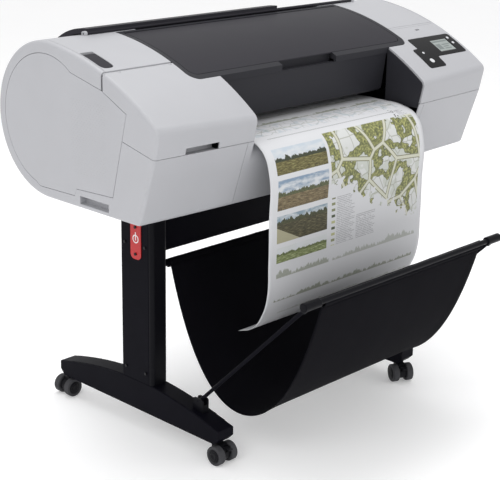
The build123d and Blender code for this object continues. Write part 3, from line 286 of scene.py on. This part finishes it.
def bare_metal(name, colour, roughness, stretch=(4.0, 180.0, 180.0)):
    finish = Finish(name)
    drawn = finish.node("ShaderNodeMapping", inputs={"Vector": finish.object_place(), "Scale": stretch})
    lines = finish.noise(4.0, 4.0, drawn)
    finish.set(
        Base_Color=finish.blend(lines, tuple(channel * 0.8 for channel in colour), colour),
        Metallic=1.0,
        Roughness=roughness - 0.06 + lines * 0.14,
    )
    finish.bump(lines, 0.00003, 0.3)
    return finish


stand_finish = coated_metal("stand_black", (0.0030, 0.0029, 0.0052), 0.46)
sheet_steel = bare_metal("chassis_steel", (0.55, 0.56, 0.57), 0.38)
screw_steel = bare_metal("screw_steel", (0.035, 0.035, 0.038), 0.42, (60.0, 60.0, 60.0))
ground_steel = bare_metal("rail_steel", (0.70, 0.70, 0.72), 0.14)

# %% [markdown]
# Rubber is dull and dusty. The caster wheels are one solid in CAD, so their finish tells the grey
# tread ring from the black hub by the distance from the axle.

# %% Rubber and wheels
def rubber(name, colour):
    finish = Finish(name)
    dust = finish.noise(45.0, 5.0)
    finish.set(
        Base_Color=finish.blend(dust, colour, tuple(channel * 1.7 + 0.01 for channel in colour)),
        Roughness=0.62 + dust * 0.2,
        Specular_IOR_Level=0.3,
    )
    finish.bump(finish.noise(900.0, 2.0), 0.0001, 0.5)
    return finish


roller_finish = rubber("roller_rubber", (0.03, 0.03, 0.033))
belt_finish = rubber("belt_rubber", (0.014, 0.014, 0.015))


joint_facts = {joint["name"]: joint for joint in frame["joints"]}
hub_radius = 0.0188


def wheel_finish(label):
    joint = joint_facts["caster_roll_" + label]
    axle = Vector(joint["pos_m"])
    direction = Vector(joint["axis"])
    finish = Finish("caster_wheel_" + label)
    kind, subtract, product = "ShaderNodeVectorMath", {"operation": "SUBTRACT"}, {"operation": "DOT_PRODUCT"}
    offset = finish.node(kind, subtract, {0: finish.object_place(), 1: axle})
    lengthwise = finish.node(kind, product, {0: offset, 1: direction}, 1)
    squared = finish.node(kind, product, {0: offset, 1: offset}, 1)
    radius = (squared - lengthwise * lengthwise).power(0.5)
    tread = radius > hub_radius
    dust = finish.noise(60.0, 5.0)
    grey = finish.blend(dust, (0.030, 0.030, 0.034), (0.070, 0.070, 0.075))
    finish.set(
        Base_Color=finish.blend(tread, (0.006, 0.006, 0.008), grey),
        Roughness=0.38 + tread * 0.26 + dust * 0.08,
        Specular_IOR_Level=0.15,
    )
    finish.bump(finish.noise(700.0, 2.0) + tread, 0.0002, 0.4)
    return finish


wheel_prefix = "caster_wheels_"
wheel_labels = [name[len(wheel_prefix):] for name in frame["nodes"] if name.startswith(wheel_prefix)]
print("casters:", ", ".join(sorted(wheel_labels)))

# %% [markdown]
# The catch bin is black woven polyester. Two sine waves at right angles make the weave from the
# cloth's own UV map, which is laid out in metres, so the threads follow the folds.

# %% Woven cloth
thread = 0.0011


def woven_cloth(name, colour):
    finish = Finish(name)
    u, v, _ = finish.split(finish.sheet_place())
    warp = (u * (2 * math.pi / thread)).sine()
    weft = (v * (2 * math.pi / thread)).sine()
    weave = warp * weft
    shade = finish.noise(9.0, 4.0)
    lint = finish.noise(160.0, 6.0)
    light = tuple(channel * 2.0 + 0.001 for channel in colour)
    finish.set(
        Base_Color=finish.blend((shade * 0.5 + lint * 0.5 + weave * 0.12).least(1.0), colour, light),
        Roughness=0.82 + weave * 0.06,
        Specular_IOR_Level=0.04,
        Sheen_Weight=0.01,
        Sheen_Roughness=0.45,
    )
    finish.bump(weave + lint * 0.6, 0.00025, 0.5)
    return finish


bin_finish = woven_cloth("bin_fabric", (0.0022, 0.0021, 0.0034))

# %% [markdown]
# Paper is matt and very slightly fibrous; the little light it lets through is not modelled. On the
# roll's ends the edges of the wound layers show as fine rings.

# %% Paper
roll_low, roll_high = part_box("media_roll")
paper_finish = Finish("paper")
roll_x, roll_y, roll_z = paper_finish.split(paper_finish.object_place())
roll_dy = roll_y - (roll_low[1] + roll_high[1]) / 2
roll_dz = roll_z - (roll_low[2] + roll_high[2]) / 2
ring_radius = (roll_dy * roll_dy + roll_dz * roll_dz).power(0.5)
rings = paper_finish.noise(1.0, 2.0, paper_finish.join(ring_radius * 900.0, 0.0))
fibre = paper_finish.noise(500.0, 4.0)
paper_finish.set(
    Base_Color=paper_finish.blend(rings * 0.7 + fibre * 0.3, (0.72, 0.71, 0.68), (0.88, 0.88, 0.86)),
    Roughness=0.6 + fibre * 0.15,
)
paper_finish.bump(fibre * 0.4 + rings * 0.6, 0.0001, 0.4)

# %% [markdown]
# The print is a made-up site plan. Its UV map runs in metres across the sheet and up from its
# loose end, so every block is placed as on a drawing board: a column of four landscape pictures,
# a plan of green belts and roads, columns of grey lines that stand for text, and three long views.

# %% The drawn page
page = Finish("print")
page_u, page_v, _ = page.split(page.sheet_place())


def inside(u0, u1, v0, v1):
    """1 inside a box on the page, 0 outside."""
    return (page_u > u0) * (page_u < u1) * (page_v > v0) * (page_v < v1)


def landscape(u0, u1, v0, v1, seed, skyline, ground, field, sky, shrub):
    """A small picture: a clouded sky over a jagged line of trees, with streaked fields in front."""
    up = (page_v - v0) / (v1 - v0)
    streaks = page.noise(1.0, 5.0, page.join(page_u * 60.0 + seed, page_v * 420.0 + seed), 0.65)
    tufts = page.noise(1.0, 6.0, page.join(page_u * 190.0 + seed, page_v * 190.0), 0.75)
    ridge = skyline + (page.noise(1.0, 6.0, page.join(page_u * 75.0 + seed, seed), 0.7) - 0.5) * 0.55
    dark = tuple(channel * 0.45 for channel in ground)
    land = page.ramp(streaks, [(0.36, dark), (0.50, ground), (0.64, field)])
    land = page.blend((tufts > 0.52 + up * 0.5) * 0.8, land, dark)
    trees = page.ramp(tufts, [(0.40, shrub), (0.58, tuple(channel * 2.4 for channel in shrub))])
    clouds = page.noise(1.0, 4.0, page.join(page_u * 30.0 + seed, page_v * 80.0 + seed))
    air = page.ramp(clouds + (1 - up) * 0.35, [(0.45, sky), (0.72, (0.60, 0.62, 0.64))])
    view = page.blend(up > ridge, trees, air)
    return inside(u0, u1, v0, v1), page.blend(up < skyline - 0.14, view, land)


white = page.blend(page.noise(3.0, 3.0), (0.60, 0.605, 0.625), (0.64, 0.645, 0.665))
drawn = white
picture_left, picture_right = 0.028, 0.215
pictures = [
    (0.466, 0.532, 3.1, 0.62,
     (0.12, 0.10, 0.030), (0.27, 0.26, 0.10), (0.48, 0.54, 0.60), (0.018, 0.022, 0.010)),
    (0.377, 0.453, 8.4, 0.60,
     (0.15, 0.11, 0.055), (0.30, 0.25, 0.14), (0.20, 0.28, 0.38), (0.045, 0.050, 0.022)),
    (0.294, 0.363, 14.7, 0.82,
     (0.055, 0.050, 0.024), (0.16, 0.14, 0.07), (0.22, 0.30, 0.36), (0.030, 0.032, 0.014)),
    (0.243, 0.282, 21.2, 0.60,
     (0.20, 0.24, 0.10), (0.42, 0.46, 0.26), (0.58, 0.60, 0.60), (0.070, 0.085, 0.035)),
]
for low, high, *looks in pictures:
    mask, picture = landscape(picture_left, picture_right, low, high, *looks)
    drawn = page.blend(mask, drawn, picture)
path_edge = (page_u - picture_left) / 0.085 + (page_v - 0.294) / 0.040
path = inside(picture_left, picture_right, 0.294, 0.334) * (path_edge < 1.0)
drawn = page.blend(path * 0.8, drawn, (0.42, 0.40, 0.27))

# The plan: green belts follow the bands of a slow noise; pale roads cross them, and thin lines
# divide the building land between them.
plan_place = page.join(page_u * 10.0 + page_v * 3.0, page_v * 11.0 - page_u * 3.0, 2.3)
belts = page.noise(1.0, 3.0, plan_place, 0.5)
belt = 1 - ((belts - 0.5).size() / 0.062).least(1.0)
woods = page.noise(14.0, 4.0, plan_place)
greens = [(0.34, (0.10, 0.11, 0.045)), (0.50, (0.19, 0.20, 0.075)), (0.66, (0.40, 0.40, 0.15))]
green = page.ramp(woods, greens)
towards = (page_u - 0.225) / 0.365
foot_of_plan = 0.42 - towards * 0.155 + (page.noise(4.0, 4.0, plan_place) - 0.5) * 0.16
plan_area = inside(0.225, 0.590, 0.26, 0.545) * (page_v > foot_of_plan)


def line_net(scale, turn, width):
    """Thin lines between the cells of a mosaic that is skewed across the page."""
    spot = page.join((page_u + page_v * turn) * scale, (page_v - page_u * turn) * scale)
    options = {"feature": "DISTANCE_TO_EDGE", "voronoi_dimensions": "2D"}
    inputs = {"Vector": spot, "Scale": 1.0}
    return page.node("ShaderNodeTexVoronoi", options, inputs, output="Distance") < width


building_land = page.blend(page.noise(2.0, 2.0, plan_place) > 0.52, (0.52, 0.54, 0.50), (0.60, 0.61, 0.60))
drawn = page.blend(plan_area, drawn, building_land)
drawn = page.blend(plan_area * line_net(26.0, 0.3, 0.035) * 0.6, drawn, (0.26, 0.26, 0.20))
drawn = page.blend(plan_area * (belt > 0.10), drawn, green)
drawn = page.blend(plan_area * (belt > 0.02) * (belt < 0.12), drawn, (0.10, 0.11, 0.06))
drawn = page.blend(plan_area * line_net(9.0, -0.4, 0.060), drawn, (0.20, 0.20, 0.12))
drawn = page.blend(plan_area * line_net(9.0, -0.4, 0.038), drawn, (0.56, 0.56, 0.46))

# Columns of short grey lines stand for text, beside a key of small coloured squares.
line_pitch = 0.0048
row = (page_v / line_pitch).floor()
ragged = page.node("ShaderNodeTexWhiteNoise", {"noise_dimensions": "1D"}, {"W": row}, output="Value")
stroke = (page_v % line_pitch) < line_pitch * 0.45
words = page.noise(1.0, 1.0, page.join(page_u * 420.0, row * 13.7)) > 0.42
for left, right, low, high in (
    (0.252, 0.325, 0.245, 0.372), (0.330, 0.410, 0.245, 0.312), (0.545, 0.583, 0.545, 0.572),
    (0.50, 0.54, 0.300, 0.312),
):
    text = inside(left, right, low, high) * stroke * words * (page_u < right - ragged * 0.02)
    drawn = page.blend(text * 0.65, drawn, (0.22, 0.22, 0.24))
key_row = (page_v / 0.016).floor()
key_mask = inside(0.232, 0.246, 0.245, 0.372) * ((page_v % 0.016) < 0.007)
key_shade = page.node("ShaderNodeTexWhiteNoise", {"noise_dimensions": "1D"}, {"W": key_row}, output="Value")
drawn = page.blend(key_mask, drawn, page.blend(key_shade, (0.06, 0.08, 0.04), (0.50, 0.50, 0.26)))


def long_view(u0, u1, v0, height, seed, strength):
    """A strip of distant trees on a faint horizon line."""
    up = (page_v - v0) / height
    trees = page.noise(1.0, 6.0, page.join(page_u * 60.0 + seed, seed), 0.75)
    groups = page.noise(1.0, 1.0, page.join(page_u * 9.0 + seed, seed))
    crown = (trees - 0.62 + groups * 0.5) * 2.6
    tree = (up < crown) * inside(u0, u1, v0, v0 + height)
    leaves = page.blend(page.noise(420.0, 3.0, page.sheet_place()), (0.09, 0.11, 0.06), (0.40, 0.42, 0.34))
    horizon = inside(u0, u1, v0 - 0.0008, v0 + 0.0006)
    return (tree + horizon).least(1.0) * strength, leaves


for strip in (
    (0.028, 0.225, 0.205, 0.026, 1.7, 0.75), (0.240, 0.585, 0.205, 0.026, 5.1, 0.55),
    (0.028, 0.585, 0.140, 0.022, 9.9, 0.85), (0.06, 0.585, 0.095, 0.012, 31.3, 0.45),
    (0.028, 0.585, 0.655, 0.020, 12.4, 0.85), (0.028, 0.585, 0.605, 0.010, 17.4, 0.5),
    (0.028, 0.585, 0.705, 0.016, 22.8, 0.6),
):
    mask, leaves = long_view(*strip)
    drawn = page.blend(mask, drawn, leaves)
band = inside(0.028, 0.585, 0.585, 0.648)
tint = page.noise(40.0, 4.0, page.sheet_place())
drawn = page.blend(band * (tint > 0.54) * 0.35, drawn, (0.30, 0.40, 0.46))
drawn = page.blend(band * line_net(34.0, 0.0, 0.03) * 0.6, drawn, (0.24, 0.25, 0.22))
dashes = inside(0.05, 0.56, 0.566, 0.569) * ((page_u % 0.008) < 0.005)
drawn = page.blend(dashes * 0.8, drawn, (0.12, 0.12, 0.12))
marks_right = inside(0.525, 0.540, 0.535, 0.578) * (page.noise(160.0, 2.0, page.sheet_place()) > 0.58)
drawn = page.blend(marks_right, drawn, (0.04, 0.04, 0.04))

page_fibre = page.noise(700.0, 4.0)
page.set(
    Base_Color=drawn,
    Roughness=0.42 + page_fibre * 0.12,
    Specular_IOR_Level=0.4,
)
page.bump(page_fibre, 0.00005, 0.3)

# %% [markdown]
# The display shows only generic bars and boxes, faintly lit. The tag on the stand is red with a
# plain white symbol: a ring with a bar through it.

# %% The display and the tag
screen_low, screen_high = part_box("lcd_screen")
screen_finish = Finish("screen")
screen_x, screen_y, screen_z = screen_finish.split(screen_finish.object_place())
screen_u = (screen_x - screen_low[0]) / (screen_high[0] - screen_low[0])
screen_v = (screen_y - screen_low[1]) / (screen_high[1] - screen_low[1])


def screen_box(u0, u1, v0, v1):
    return (screen_u > u0) * (screen_u < u1) * (screen_v > v0) * (screen_v < v1)


marks = screen_box(0.08, 0.36, 0.18, 0.62) + screen_box(0.44, 0.90, 0.50, 0.58)
marks = marks + screen_box(0.44, 0.78, 0.34, 0.42)
marks = (marks + screen_box(0.44, 0.84, 0.18, 0.26) + screen_box(0.06, 0.94, 0.76, 0.88)).least(1.0)
glow = screen_finish.noise(30.0, 2.0)
screen_face = screen_finish.blend(glow, (0.17, 0.20, 0.19), (0.25, 0.28, 0.27))
screen_face = screen_finish.blend(marks * 0.7, screen_face, (0.05, 0.07, 0.07))
screen_border = 1 - screen_box(0.03, 0.97, 0.05, 0.95)
screen_face = screen_finish.blend(screen_border, screen_face, (0.01, 0.01, 0.011))
screen_finish.set(Base_Color=screen_face, Roughness=0.16 + glow * 0.04, Coat_Weight=0.5, Coat_Roughness=0.05)
screen_finish.set(Emission_Color=screen_face, Emission_Strength=0.25)

tag_low, tag_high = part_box("side_tag")
tag_finish = moulded_plastic("tag_red", (0.50, 0.012, 0.014), 0.35)
tag_x, tag_y, tag_z = tag_finish.split(tag_finish.object_place())
tag_dy = tag_y - (tag_low[1] + tag_high[1]) / 2
tag_dz = tag_z - (tag_low[2] + 0.055)
tag_radius = (tag_dy * tag_dy + tag_dz * tag_dz).power(0.5)
tag_ring = (tag_radius > 0.0085) * (tag_radius < 0.0115)
tag_bar = (tag_dy.size() < 0.0016) * (tag_dz > -0.004) * (tag_dz < 0.018)
tag_symbol = (tag_ring + tag_bar).least(1.0)
tag_cloud = tag_finish.noise(7.0, 4.0)
tag_red = tag_finish.blend(tag_cloud, (0.44, 0.010, 0.012), (0.54, 0.016, 0.018))
tag_finish.set(Base_Color=tag_finish.blend(tag_symbol, tag_red, (0.80, 0.78, 0.78)))

# %% [markdown]
# Now each CAD node gets its finish. A node's mesh stays as it is: only its material changes.

# %% Dress the CAD nodes
finish_of = {
    "cover_grey": cover_finish, "lid_grey": lid_finish, "frame_black": frame_finish,
    "bezel_black": gloss_finish, "screen": screen_finish, "button_white": button_finish,
    "stand_black": stand_finish, "trim_black": trim_finish, "tag_red": tag_finish,
    "screw_steel": screw_steel, "caster_black": caster_finish, "bin_fabric": bin_finish,
    "chassis_steel": sheet_steel, "rail_steel": ground_steel, "carriage_black": carriage_finish,
    "belt_rubber": belt_finish, "roller_rubber": roller_finish, "paper": paper_finish, "print": page,
}
slot_of = {entry["node"]: entry["material_slot"] for entry in frame["record"]["subparts"]}


def dress(piece, finish):
    piece.data.materials.clear()
    piece.data.materials.append(finish.material)


for name, node in frame["nodes"].items():
    if name.startswith(wheel_prefix):
        dress(node, wheel_finish(name[len(wheel_prefix):]))
    elif name.endswith("_side_panel"):
        dress(node, dotted_finish)
    else:
        dress(node, finish_of[slot_of[name]])
print(len(frame["nodes"]), "nodes dressed")

# %% [markdown]
# A sheet is a grid of rows along a side line and columns across. The side line is a smooth curve
# through a few chosen points, and the grid's UV map is laid out in metres: across, and along.

# %% A sheet along a line
def smooth_line(points, step):
    """Points about a step apart on a smooth curve through the given (y, z) points."""
    curve = bpy.data.curves.new("line", "CURVE")
    curve.dimensions = "3D"
    curve.resolution_u = 24
    spline = curve.splines.new("BEZIER")
    spline.bezier_points.add(len(points) - 1)
    for handle, (y, z) in zip(spline.bezier_points, points):
        handle.co = (0, y, z)
        handle.handle_left_type = "AUTO"
        handle.handle_right_type = "AUTO"
    holder = bpy.data.objects.new("line", curve)
    bpy.context.scene.collection.objects.link(holder)
    mesh = bpy.data.meshes.new_from_object(holder)
    dense = [vertex.co.copy() for vertex in mesh.vertices]
    bpy.data.objects.remove(holder)
    travelled = [0.0]
    for first, second in zip(dense, dense[1:]):
        travelled.append(travelled[-1] + (second - first).length)
    count = max(2, round(travelled[-1] / step))
    line = []
    at = 0
    for number in range(count + 1):
        target = travelled[-1] * number / count
        while at < len(travelled) - 2 and travelled[at + 1] < target:
            at += 1
        share = (target - travelled[at]) / (travelled[at + 1] - travelled[at])
        line.append(dense[at].lerp(dense[at + 1], min(1.0, share)))
    return line, travelled[-1]


def sheet_grid(name, line, length, left, right, columns):
    """A grid whose rows follow the line, from left to right, with UVs in metres."""
    mesh = bpy.data.meshes.new(name)
    spots = [(left + (right - left) * column / columns, point.y, point.z)
             for point in line for column in range(columns + 1)]
    width = columns + 1
    corners = [row * width + column for row in range(len(line) - 1) for column in range(columns)]
    faces = [(corner, corner + 1, corner + width + 1, corner + width) for corner in corners]
    mesh.from_pydata(spots, [], faces)
    layer = mesh.uv_layers.new(name="UVMap")
    for loop in mesh.loops:
        row, column = divmod(loop.vertex_index, width)
        layer.data[loop.index].uv = ((right - left) * column / columns, length * row / (len(line) - 1))
    mesh.shade_smooth()
    piece = bpy.data.objects.new(name, mesh)
    bpy.context.scene.collection.objects.link(piece)
    return piece


def select_only(piece):
    bpy.ops.object.select_all(action="DESELECT")
    piece.select_set(True)
    bpy.context.view_layer.objects.active = piece


def apply_modifiers(piece):
    select_only(piece)
    for modifier in list(piece.modifiers):
        bpy.ops.object.modifier_apply(modifier=modifier.name)

# %% [markdown]
# The print leaves the slot level, falls over the front in a wide curve, hangs straight, and its
# loose end curls back into the bin. It stays flat across, because paper can't bend two ways at
# once.

# %% The hanging print
print_low, print_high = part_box("printed_sheet")
y_hang = print_low[1] + 0.0015
z_flat = print_high[2] - 0.0005
z_tip = print_low[2] + 0.001
print_points = [
    (y_hang + 0.099, z_tip), (y_hang + 0.051, z_tip + 0.020), (y_hang + 0.019, z_tip + 0.063),
    (y_hang + 0.003, z_tip + 0.112), (y_hang, z_tip + 0.20), (y_hang + 0.001, z_flat - 0.20),
    (y_hang + 0.004, z_flat - 0.080), (y_hang + 0.029, z_flat - 0.026), (y_hang + 0.077, z_flat - 0.005),
    (y_hang + 0.147, z_flat), (print_high[1] - 0.10, z_flat), (print_high[1], z_flat),
]
print_line, print_length = smooth_line(print_points, 0.006)
print_piece = sheet_grid("hanging_print", print_line, print_length, print_low[0], print_high[0], 60)
solid = print_piece.modifiers.new("thickness", "SOLIDIFY")
solid.thickness = 0.0004
solid.offset = 0.0
apply_modifiers(print_piece)
dress(print_piece, page)
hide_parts("printed_sheet")
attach(print_piece, "printer")
print("the print is", round(print_length, 3), "m long")

# %% [markdown]
# The bin's cloth is one long piece between two rods. It starts as a smooth sling, with its ends
# pinned, and a short cloth simulation lets it settle, so that it gets the soft pulls and slack
# that a woven sheet has. A limit on how far a point may go keeps it in the space that CAD gave it.

# %% The bin's cloth
cloth_low, cloth_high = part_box("bin_cloth")
rear_low, rear_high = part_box("bin_rear_rod")
front_low, front_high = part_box("bin_front_rod")
rear_rod = Vector((0, (rear_low[1] + rear_high[1]) / 2, (rear_low[2] + rear_high[2]) / 2))
front_rod = Vector((0, (front_low[1] + front_high[1]) / 2, (front_low[2] + front_high[2]) / 2))
z_floor = cloth_low[2] + 0.003
sling_points = [
    (rear_rod.y - 0.011, rear_rod.z), (rear_rod.y - 0.035, rear_rod.z - 0.066),
    (rear_rod.y - 0.072, rear_rod.z - 0.162), (rear_rod.y - 0.110, rear_rod.z - 0.233),
    (rear_rod.y - 0.169, rear_rod.z - 0.301), (rear_rod.y - 0.237, z_floor + 0.002),
    (rear_rod.y - 0.299, z_floor + 0.003), (rear_rod.y - 0.359, rear_rod.z - 0.303),
    (front_rod.y + 0.133, front_rod.z - 0.298), (front_rod.y + 0.089, front_rod.z - 0.235),
    (front_rod.y + 0.047, front_rod.z - 0.143), (front_rod.y + 0.003, front_rod.z - 0.0115),
]
sling_line, sling_length = smooth_line(sling_points, 0.011)
sling_columns = 56
sling = sheet_grid("bin_sling", sling_line, sling_length, cloth_low[0], cloth_high[0], sling_columns)
settle_frames = 24
settle_limit = 0.009


def settle(piece):
    """Let the cloth hang from its first and last rows, then keep each point near its start."""
    start = [vertex.co.copy() for vertex in piece.data.vertices]
    pins = piece.vertex_groups.new(name="pins")
    in_row = sling_columns + 1
    held = list(range(in_row)) + list(range(len(start) - in_row, len(start)))
    pins.add(held, 1.0, "REPLACE")
    cloth = piece.modifiers.new("cloth", "CLOTH")
    cloth.settings.vertex_group_mass = "pins"
    cloth.settings.quality = 6
    cloth.settings.mass = 0.25
    cloth.settings.tension_stiffness = 30
    cloth.settings.compression_stiffness = 30
    cloth.settings.shear_stiffness = 12
    cloth.settings.bending_stiffness = 0.4
    cloth.point_cache.frame_start = 1
    cloth.point_cache.frame_end = settle_frames
    for number in range(1, settle_frames + 1):
        bpy.context.scene.frame_set(number)
    select_only(piece)
    bpy.ops.object.modifier_apply(modifier="cloth")
    bpy.context.scene.frame_set(1)
    for vertex, origin in zip(piece.data.vertices, start):
        moved = vertex.co - origin
        if moved.length > settle_limit:
            vertex.co = origin + moved * (settle_limit / moved.length)


def crease(piece):
    """Slack in the cloth: shallow folds that run down from the rods and fade to the middle."""
    low_x, high_x = cloth_low[0], cloth_high[0]
    for vertex in piece.data.vertices:
        across = (vertex.co.x - low_x) / (high_x - low_x)
        height = max(0.0, (vertex.co.z - z_floor) / (front_rod.z - z_floor))
        sway = math.sin(across * 23.0 + height * 2.1) * 0.45 + math.sin(across * 51.0 - height * 3.7) * 0.2
        edge = math.exp(-((across * (1 - across)) / 0.035))
        vertex.co.y += 0.0022 * sway * height * (1.15 - height)
        vertex.co.z -= 0.004 * edge * (1 - height)


settle(sling)
crease(sling)
thick = sling.modifiers.new("thickness", "SOLIDIFY")
thick.thickness = 0.0012
thick.offset = 0.0
apply_modifiers(sling)
dress(sling, bin_finish)
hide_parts("bin_cloth")

# %% [markdown]
# Each end of the cloth is sewn into a sleeve around its rod. A sleeve is an open tube with a
# slight ripple along its length.

# %% The sleeves around the rods
def sleeve(name, rod, radius, body):
    """A sewn sleeve around a rod, open at its ends."""
    half = (cloth_high[0] - cloth_low[0]) / 2
    bpy.ops.object.select_all(action="DESELECT")
    bpy.ops.mesh.primitive_cylinder_add(
        vertices=32, radius=radius, depth=2 * half, end_fill_type="NOTHING",
        location=(0, rod.y, rod.z), rotation=(0, math.pi / 2, 0))
    piece = bpy.context.object
    piece.name = name
    piece.data.name = name
    bpy.ops.object.transform_apply(location=True, rotation=True, scale=True)
    bpy.ops.object.mode_set(mode="EDIT")
    bpy.ops.mesh.select_all(action="SELECT")
    bpy.ops.uv.cylinder_project(direction="ALIGN_TO_OBJECT", align="POLAR_ZX", scale_to_bounds=False)
    bpy.ops.mesh.subdivide(number_cuts=20)
    bpy.ops.object.mode_set(mode="OBJECT")
    for vertex in piece.data.vertices:
        wave = math.sin(vertex.co.x * 95.0) * math.sin(vertex.co.x * 31.0 + 1.0)
        out = Vector((0, vertex.co.y - rod.y, vertex.co.z - rod.z)).normalized()
        vertex.co += out * (0.0005 * wave - 0.0006)
    layer = piece.data.uv_layers.active
    for loop in piece.data.loops:
        spot = piece.data.vertices[loop.vertex_index].co
        layer.data[loop.index].uv = (spot.x, math.atan2(spot.z - rod.z, spot.y - rod.y) * radius)
    wall = piece.modifiers.new("wall", "SOLIDIFY")
    wall.thickness = 0.0012
    wall.offset = -1.0
    apply_modifiers(piece)
    select_only(piece)
    bpy.ops.object.shade_smooth_by_angle(angle=math.radians(40))
    dress(piece, bin_finish)
    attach(piece, body)
    return piece


hem_radius = 0.0122
rear_sleeve = sleeve("bin_rear_sleeve", rear_rod, hem_radius, "printer")
front_sleeve = sleeve("bin_front_sleeve", front_rod, hem_radius, "catch_bin_frame")
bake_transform(sling)
print("the cloth between its rods is", round(sling_length, 3), "m long")

# %% [markdown]
# A caster wheel has a domed black cap over its axle, with a ring groove. The cap is modelled once,
# from a flat disc that is inset and raised, and copied to both ends of each caster's axle.

# %% Wheel caps
cap_radius = 0.0172
cap_rings = ((0.0012, 0.0009), (0.0028, 0.0004), (0.0010, -0.0008), (0.0010, 0.0008), (0.004, 0.0006))


def wheel_cap(name, place, outwards, body):
    bpy.ops.object.select_all(action="DESELECT")
    bpy.ops.mesh.primitive_circle_add(vertices=40, radius=cap_radius, fill_type="NGON", location=(0, 0, 0))
    piece = bpy.context.object
    piece.name = name
    piece.data.name = name
    bpy.ops.object.mode_set(mode="EDIT")
    bpy.ops.mesh.select_mode(type="FACE")
    bpy.ops.mesh.select_all(action="SELECT")
    for thickness, rise in cap_rings:
        bpy.ops.mesh.inset(thickness=thickness, depth=0)
        bpy.ops.transform.translate(value=(0, 0, rise))
    bpy.ops.mesh.inset(thickness=0.0035, depth=0)
    bpy.ops.transform.translate(value=(0, 0, -0.0012))
    bpy.ops.object.mode_set(mode="OBJECT")
    turn = Vector((0, 0, 1)).rotation_difference(outwards).to_matrix().to_4x4()
    piece.data.transform(Matrix.Translation(place) @ turn)
    wall = piece.modifiers.new("wall", "SOLIDIFY")
    wall.thickness = 0.0008
    wall.offset = -1.0
    apply_modifiers(piece)
    select_only(piece)
    bpy.ops.object.shade_smooth_by_angle(angle=math.radians(35))
    dress(piece, caster_finish)
    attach(piece, body)


wheel_outer = 0.0312
for label in wheel_labels:
    joint = joint_facts["caster_roll_" + label]
    middle = Vector(joint["pos_m"])
    direction = Vector(joint["axis"]).normalized()
    for number, sign in enumerate((-1, 1)):
        outwards = direction * sign
        place = middle + outwards * wheel_outer
        wheel_cap(f"wheel_cap_{label}_{number}", place, outwards, wheel_prefix + label)

# %% [markdown]
# The stage: a pale floor, and soft light. A large key light stands on the camera's left, a weaker
# one fills from the right, and one hangs overhead, as in a product studio.

# %% Floor and light
floor_z = cad_low[2]
bpy.ops.object.select_all(action="DESELECT")
bpy.ops.mesh.primitive_plane_add(size=40, location=(0, 6, floor_z))
floor = bpy.context.object
floor.name = "studio_floor"
floor_finish = Finish("studio_floor")
floor_tone = floor_finish.noise(2.0, 2.0)
floor_colour = floor_finish.blend(floor_tone, (0.90, 0.90, 0.905), (0.93, 0.93, 0.935))
floor_finish.set(Base_Color=floor_colour, Roughness=0.75)
floor_finish.set(Emission_Color=(1.0, 1.0, 1.0), Emission_Strength=0.2)
dress(floor, floor_finish)
floor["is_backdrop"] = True

bpy.context.scene.view_settings.view_transform = "Standard"
world = bpy.data.worlds.new("studio")
world.use_nodes = True
world.node_tree.nodes["Background"].inputs["Color"].default_value = (1.0, 1.0, 1.0, 1.0)
world.node_tree.nodes["Background"].inputs["Strength"].default_value = 0.80
bpy.context.scene.world = world
target = (cad_low + cad_high) / 2


def soft_light(name, place, size, power):
    data = bpy.data.lights.new(name, "AREA")
    data.shape = "RECTANGLE"
    data.size = size[0]
    data.size_y = size[1]
    data.energy = power
    lamp = bpy.data.objects.new(name, data)
    bpy.context.scene.collection.objects.link(lamp)
    lamp.location = place
    lamp.rotation_euler = (target - Vector(place)).to_track_quat("-Z", "Y").to_euler()


soft_light("key_light", (-3.4, -1.2, 3.2), (2.4, 1.8), 42)
soft_light("fill_light", (1.6, -3.4, 2.2), (2.2, 1.8), 16)
soft_light("top_light", (0.2, 0.6, 4.0), (3.0, 2.0), 55)

# %% [markdown]
# The camera stands to the left of the machine, a little above its top, with a long lens.

# %% Camera
camera_data = bpy.data.cameras.new("camera")
camera_data.sensor_width = 36.0
camera_data.lens = 93.2
camera = bpy.data.objects.new("camera", camera_data)
bpy.context.scene.collection.objects.link(camera)
heading, pitch, roll = math.radians(46.2), math.radians(17.76), math.radians(-1.02)
forward = Vector((math.sin(heading) * math.cos(pitch), math.cos(heading) * math.cos(pitch), -math.sin(pitch)))
right = Vector((math.cos(heading), -math.sin(heading), 0))
down = forward.cross(right)
right_rolled = right * math.cos(roll) + down * math.sin(roll)
down_rolled = down * math.cos(roll) - right * math.sin(roll)
turned = Matrix((right_rolled, -down_rolled, -forward)).transposed().to_4x4()
camera.matrix_world = Matrix.Translation((-2.4944, -2.2894, 1.5582)) @ turned
bpy.context.scene.camera = camera

# %% Finish
low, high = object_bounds()
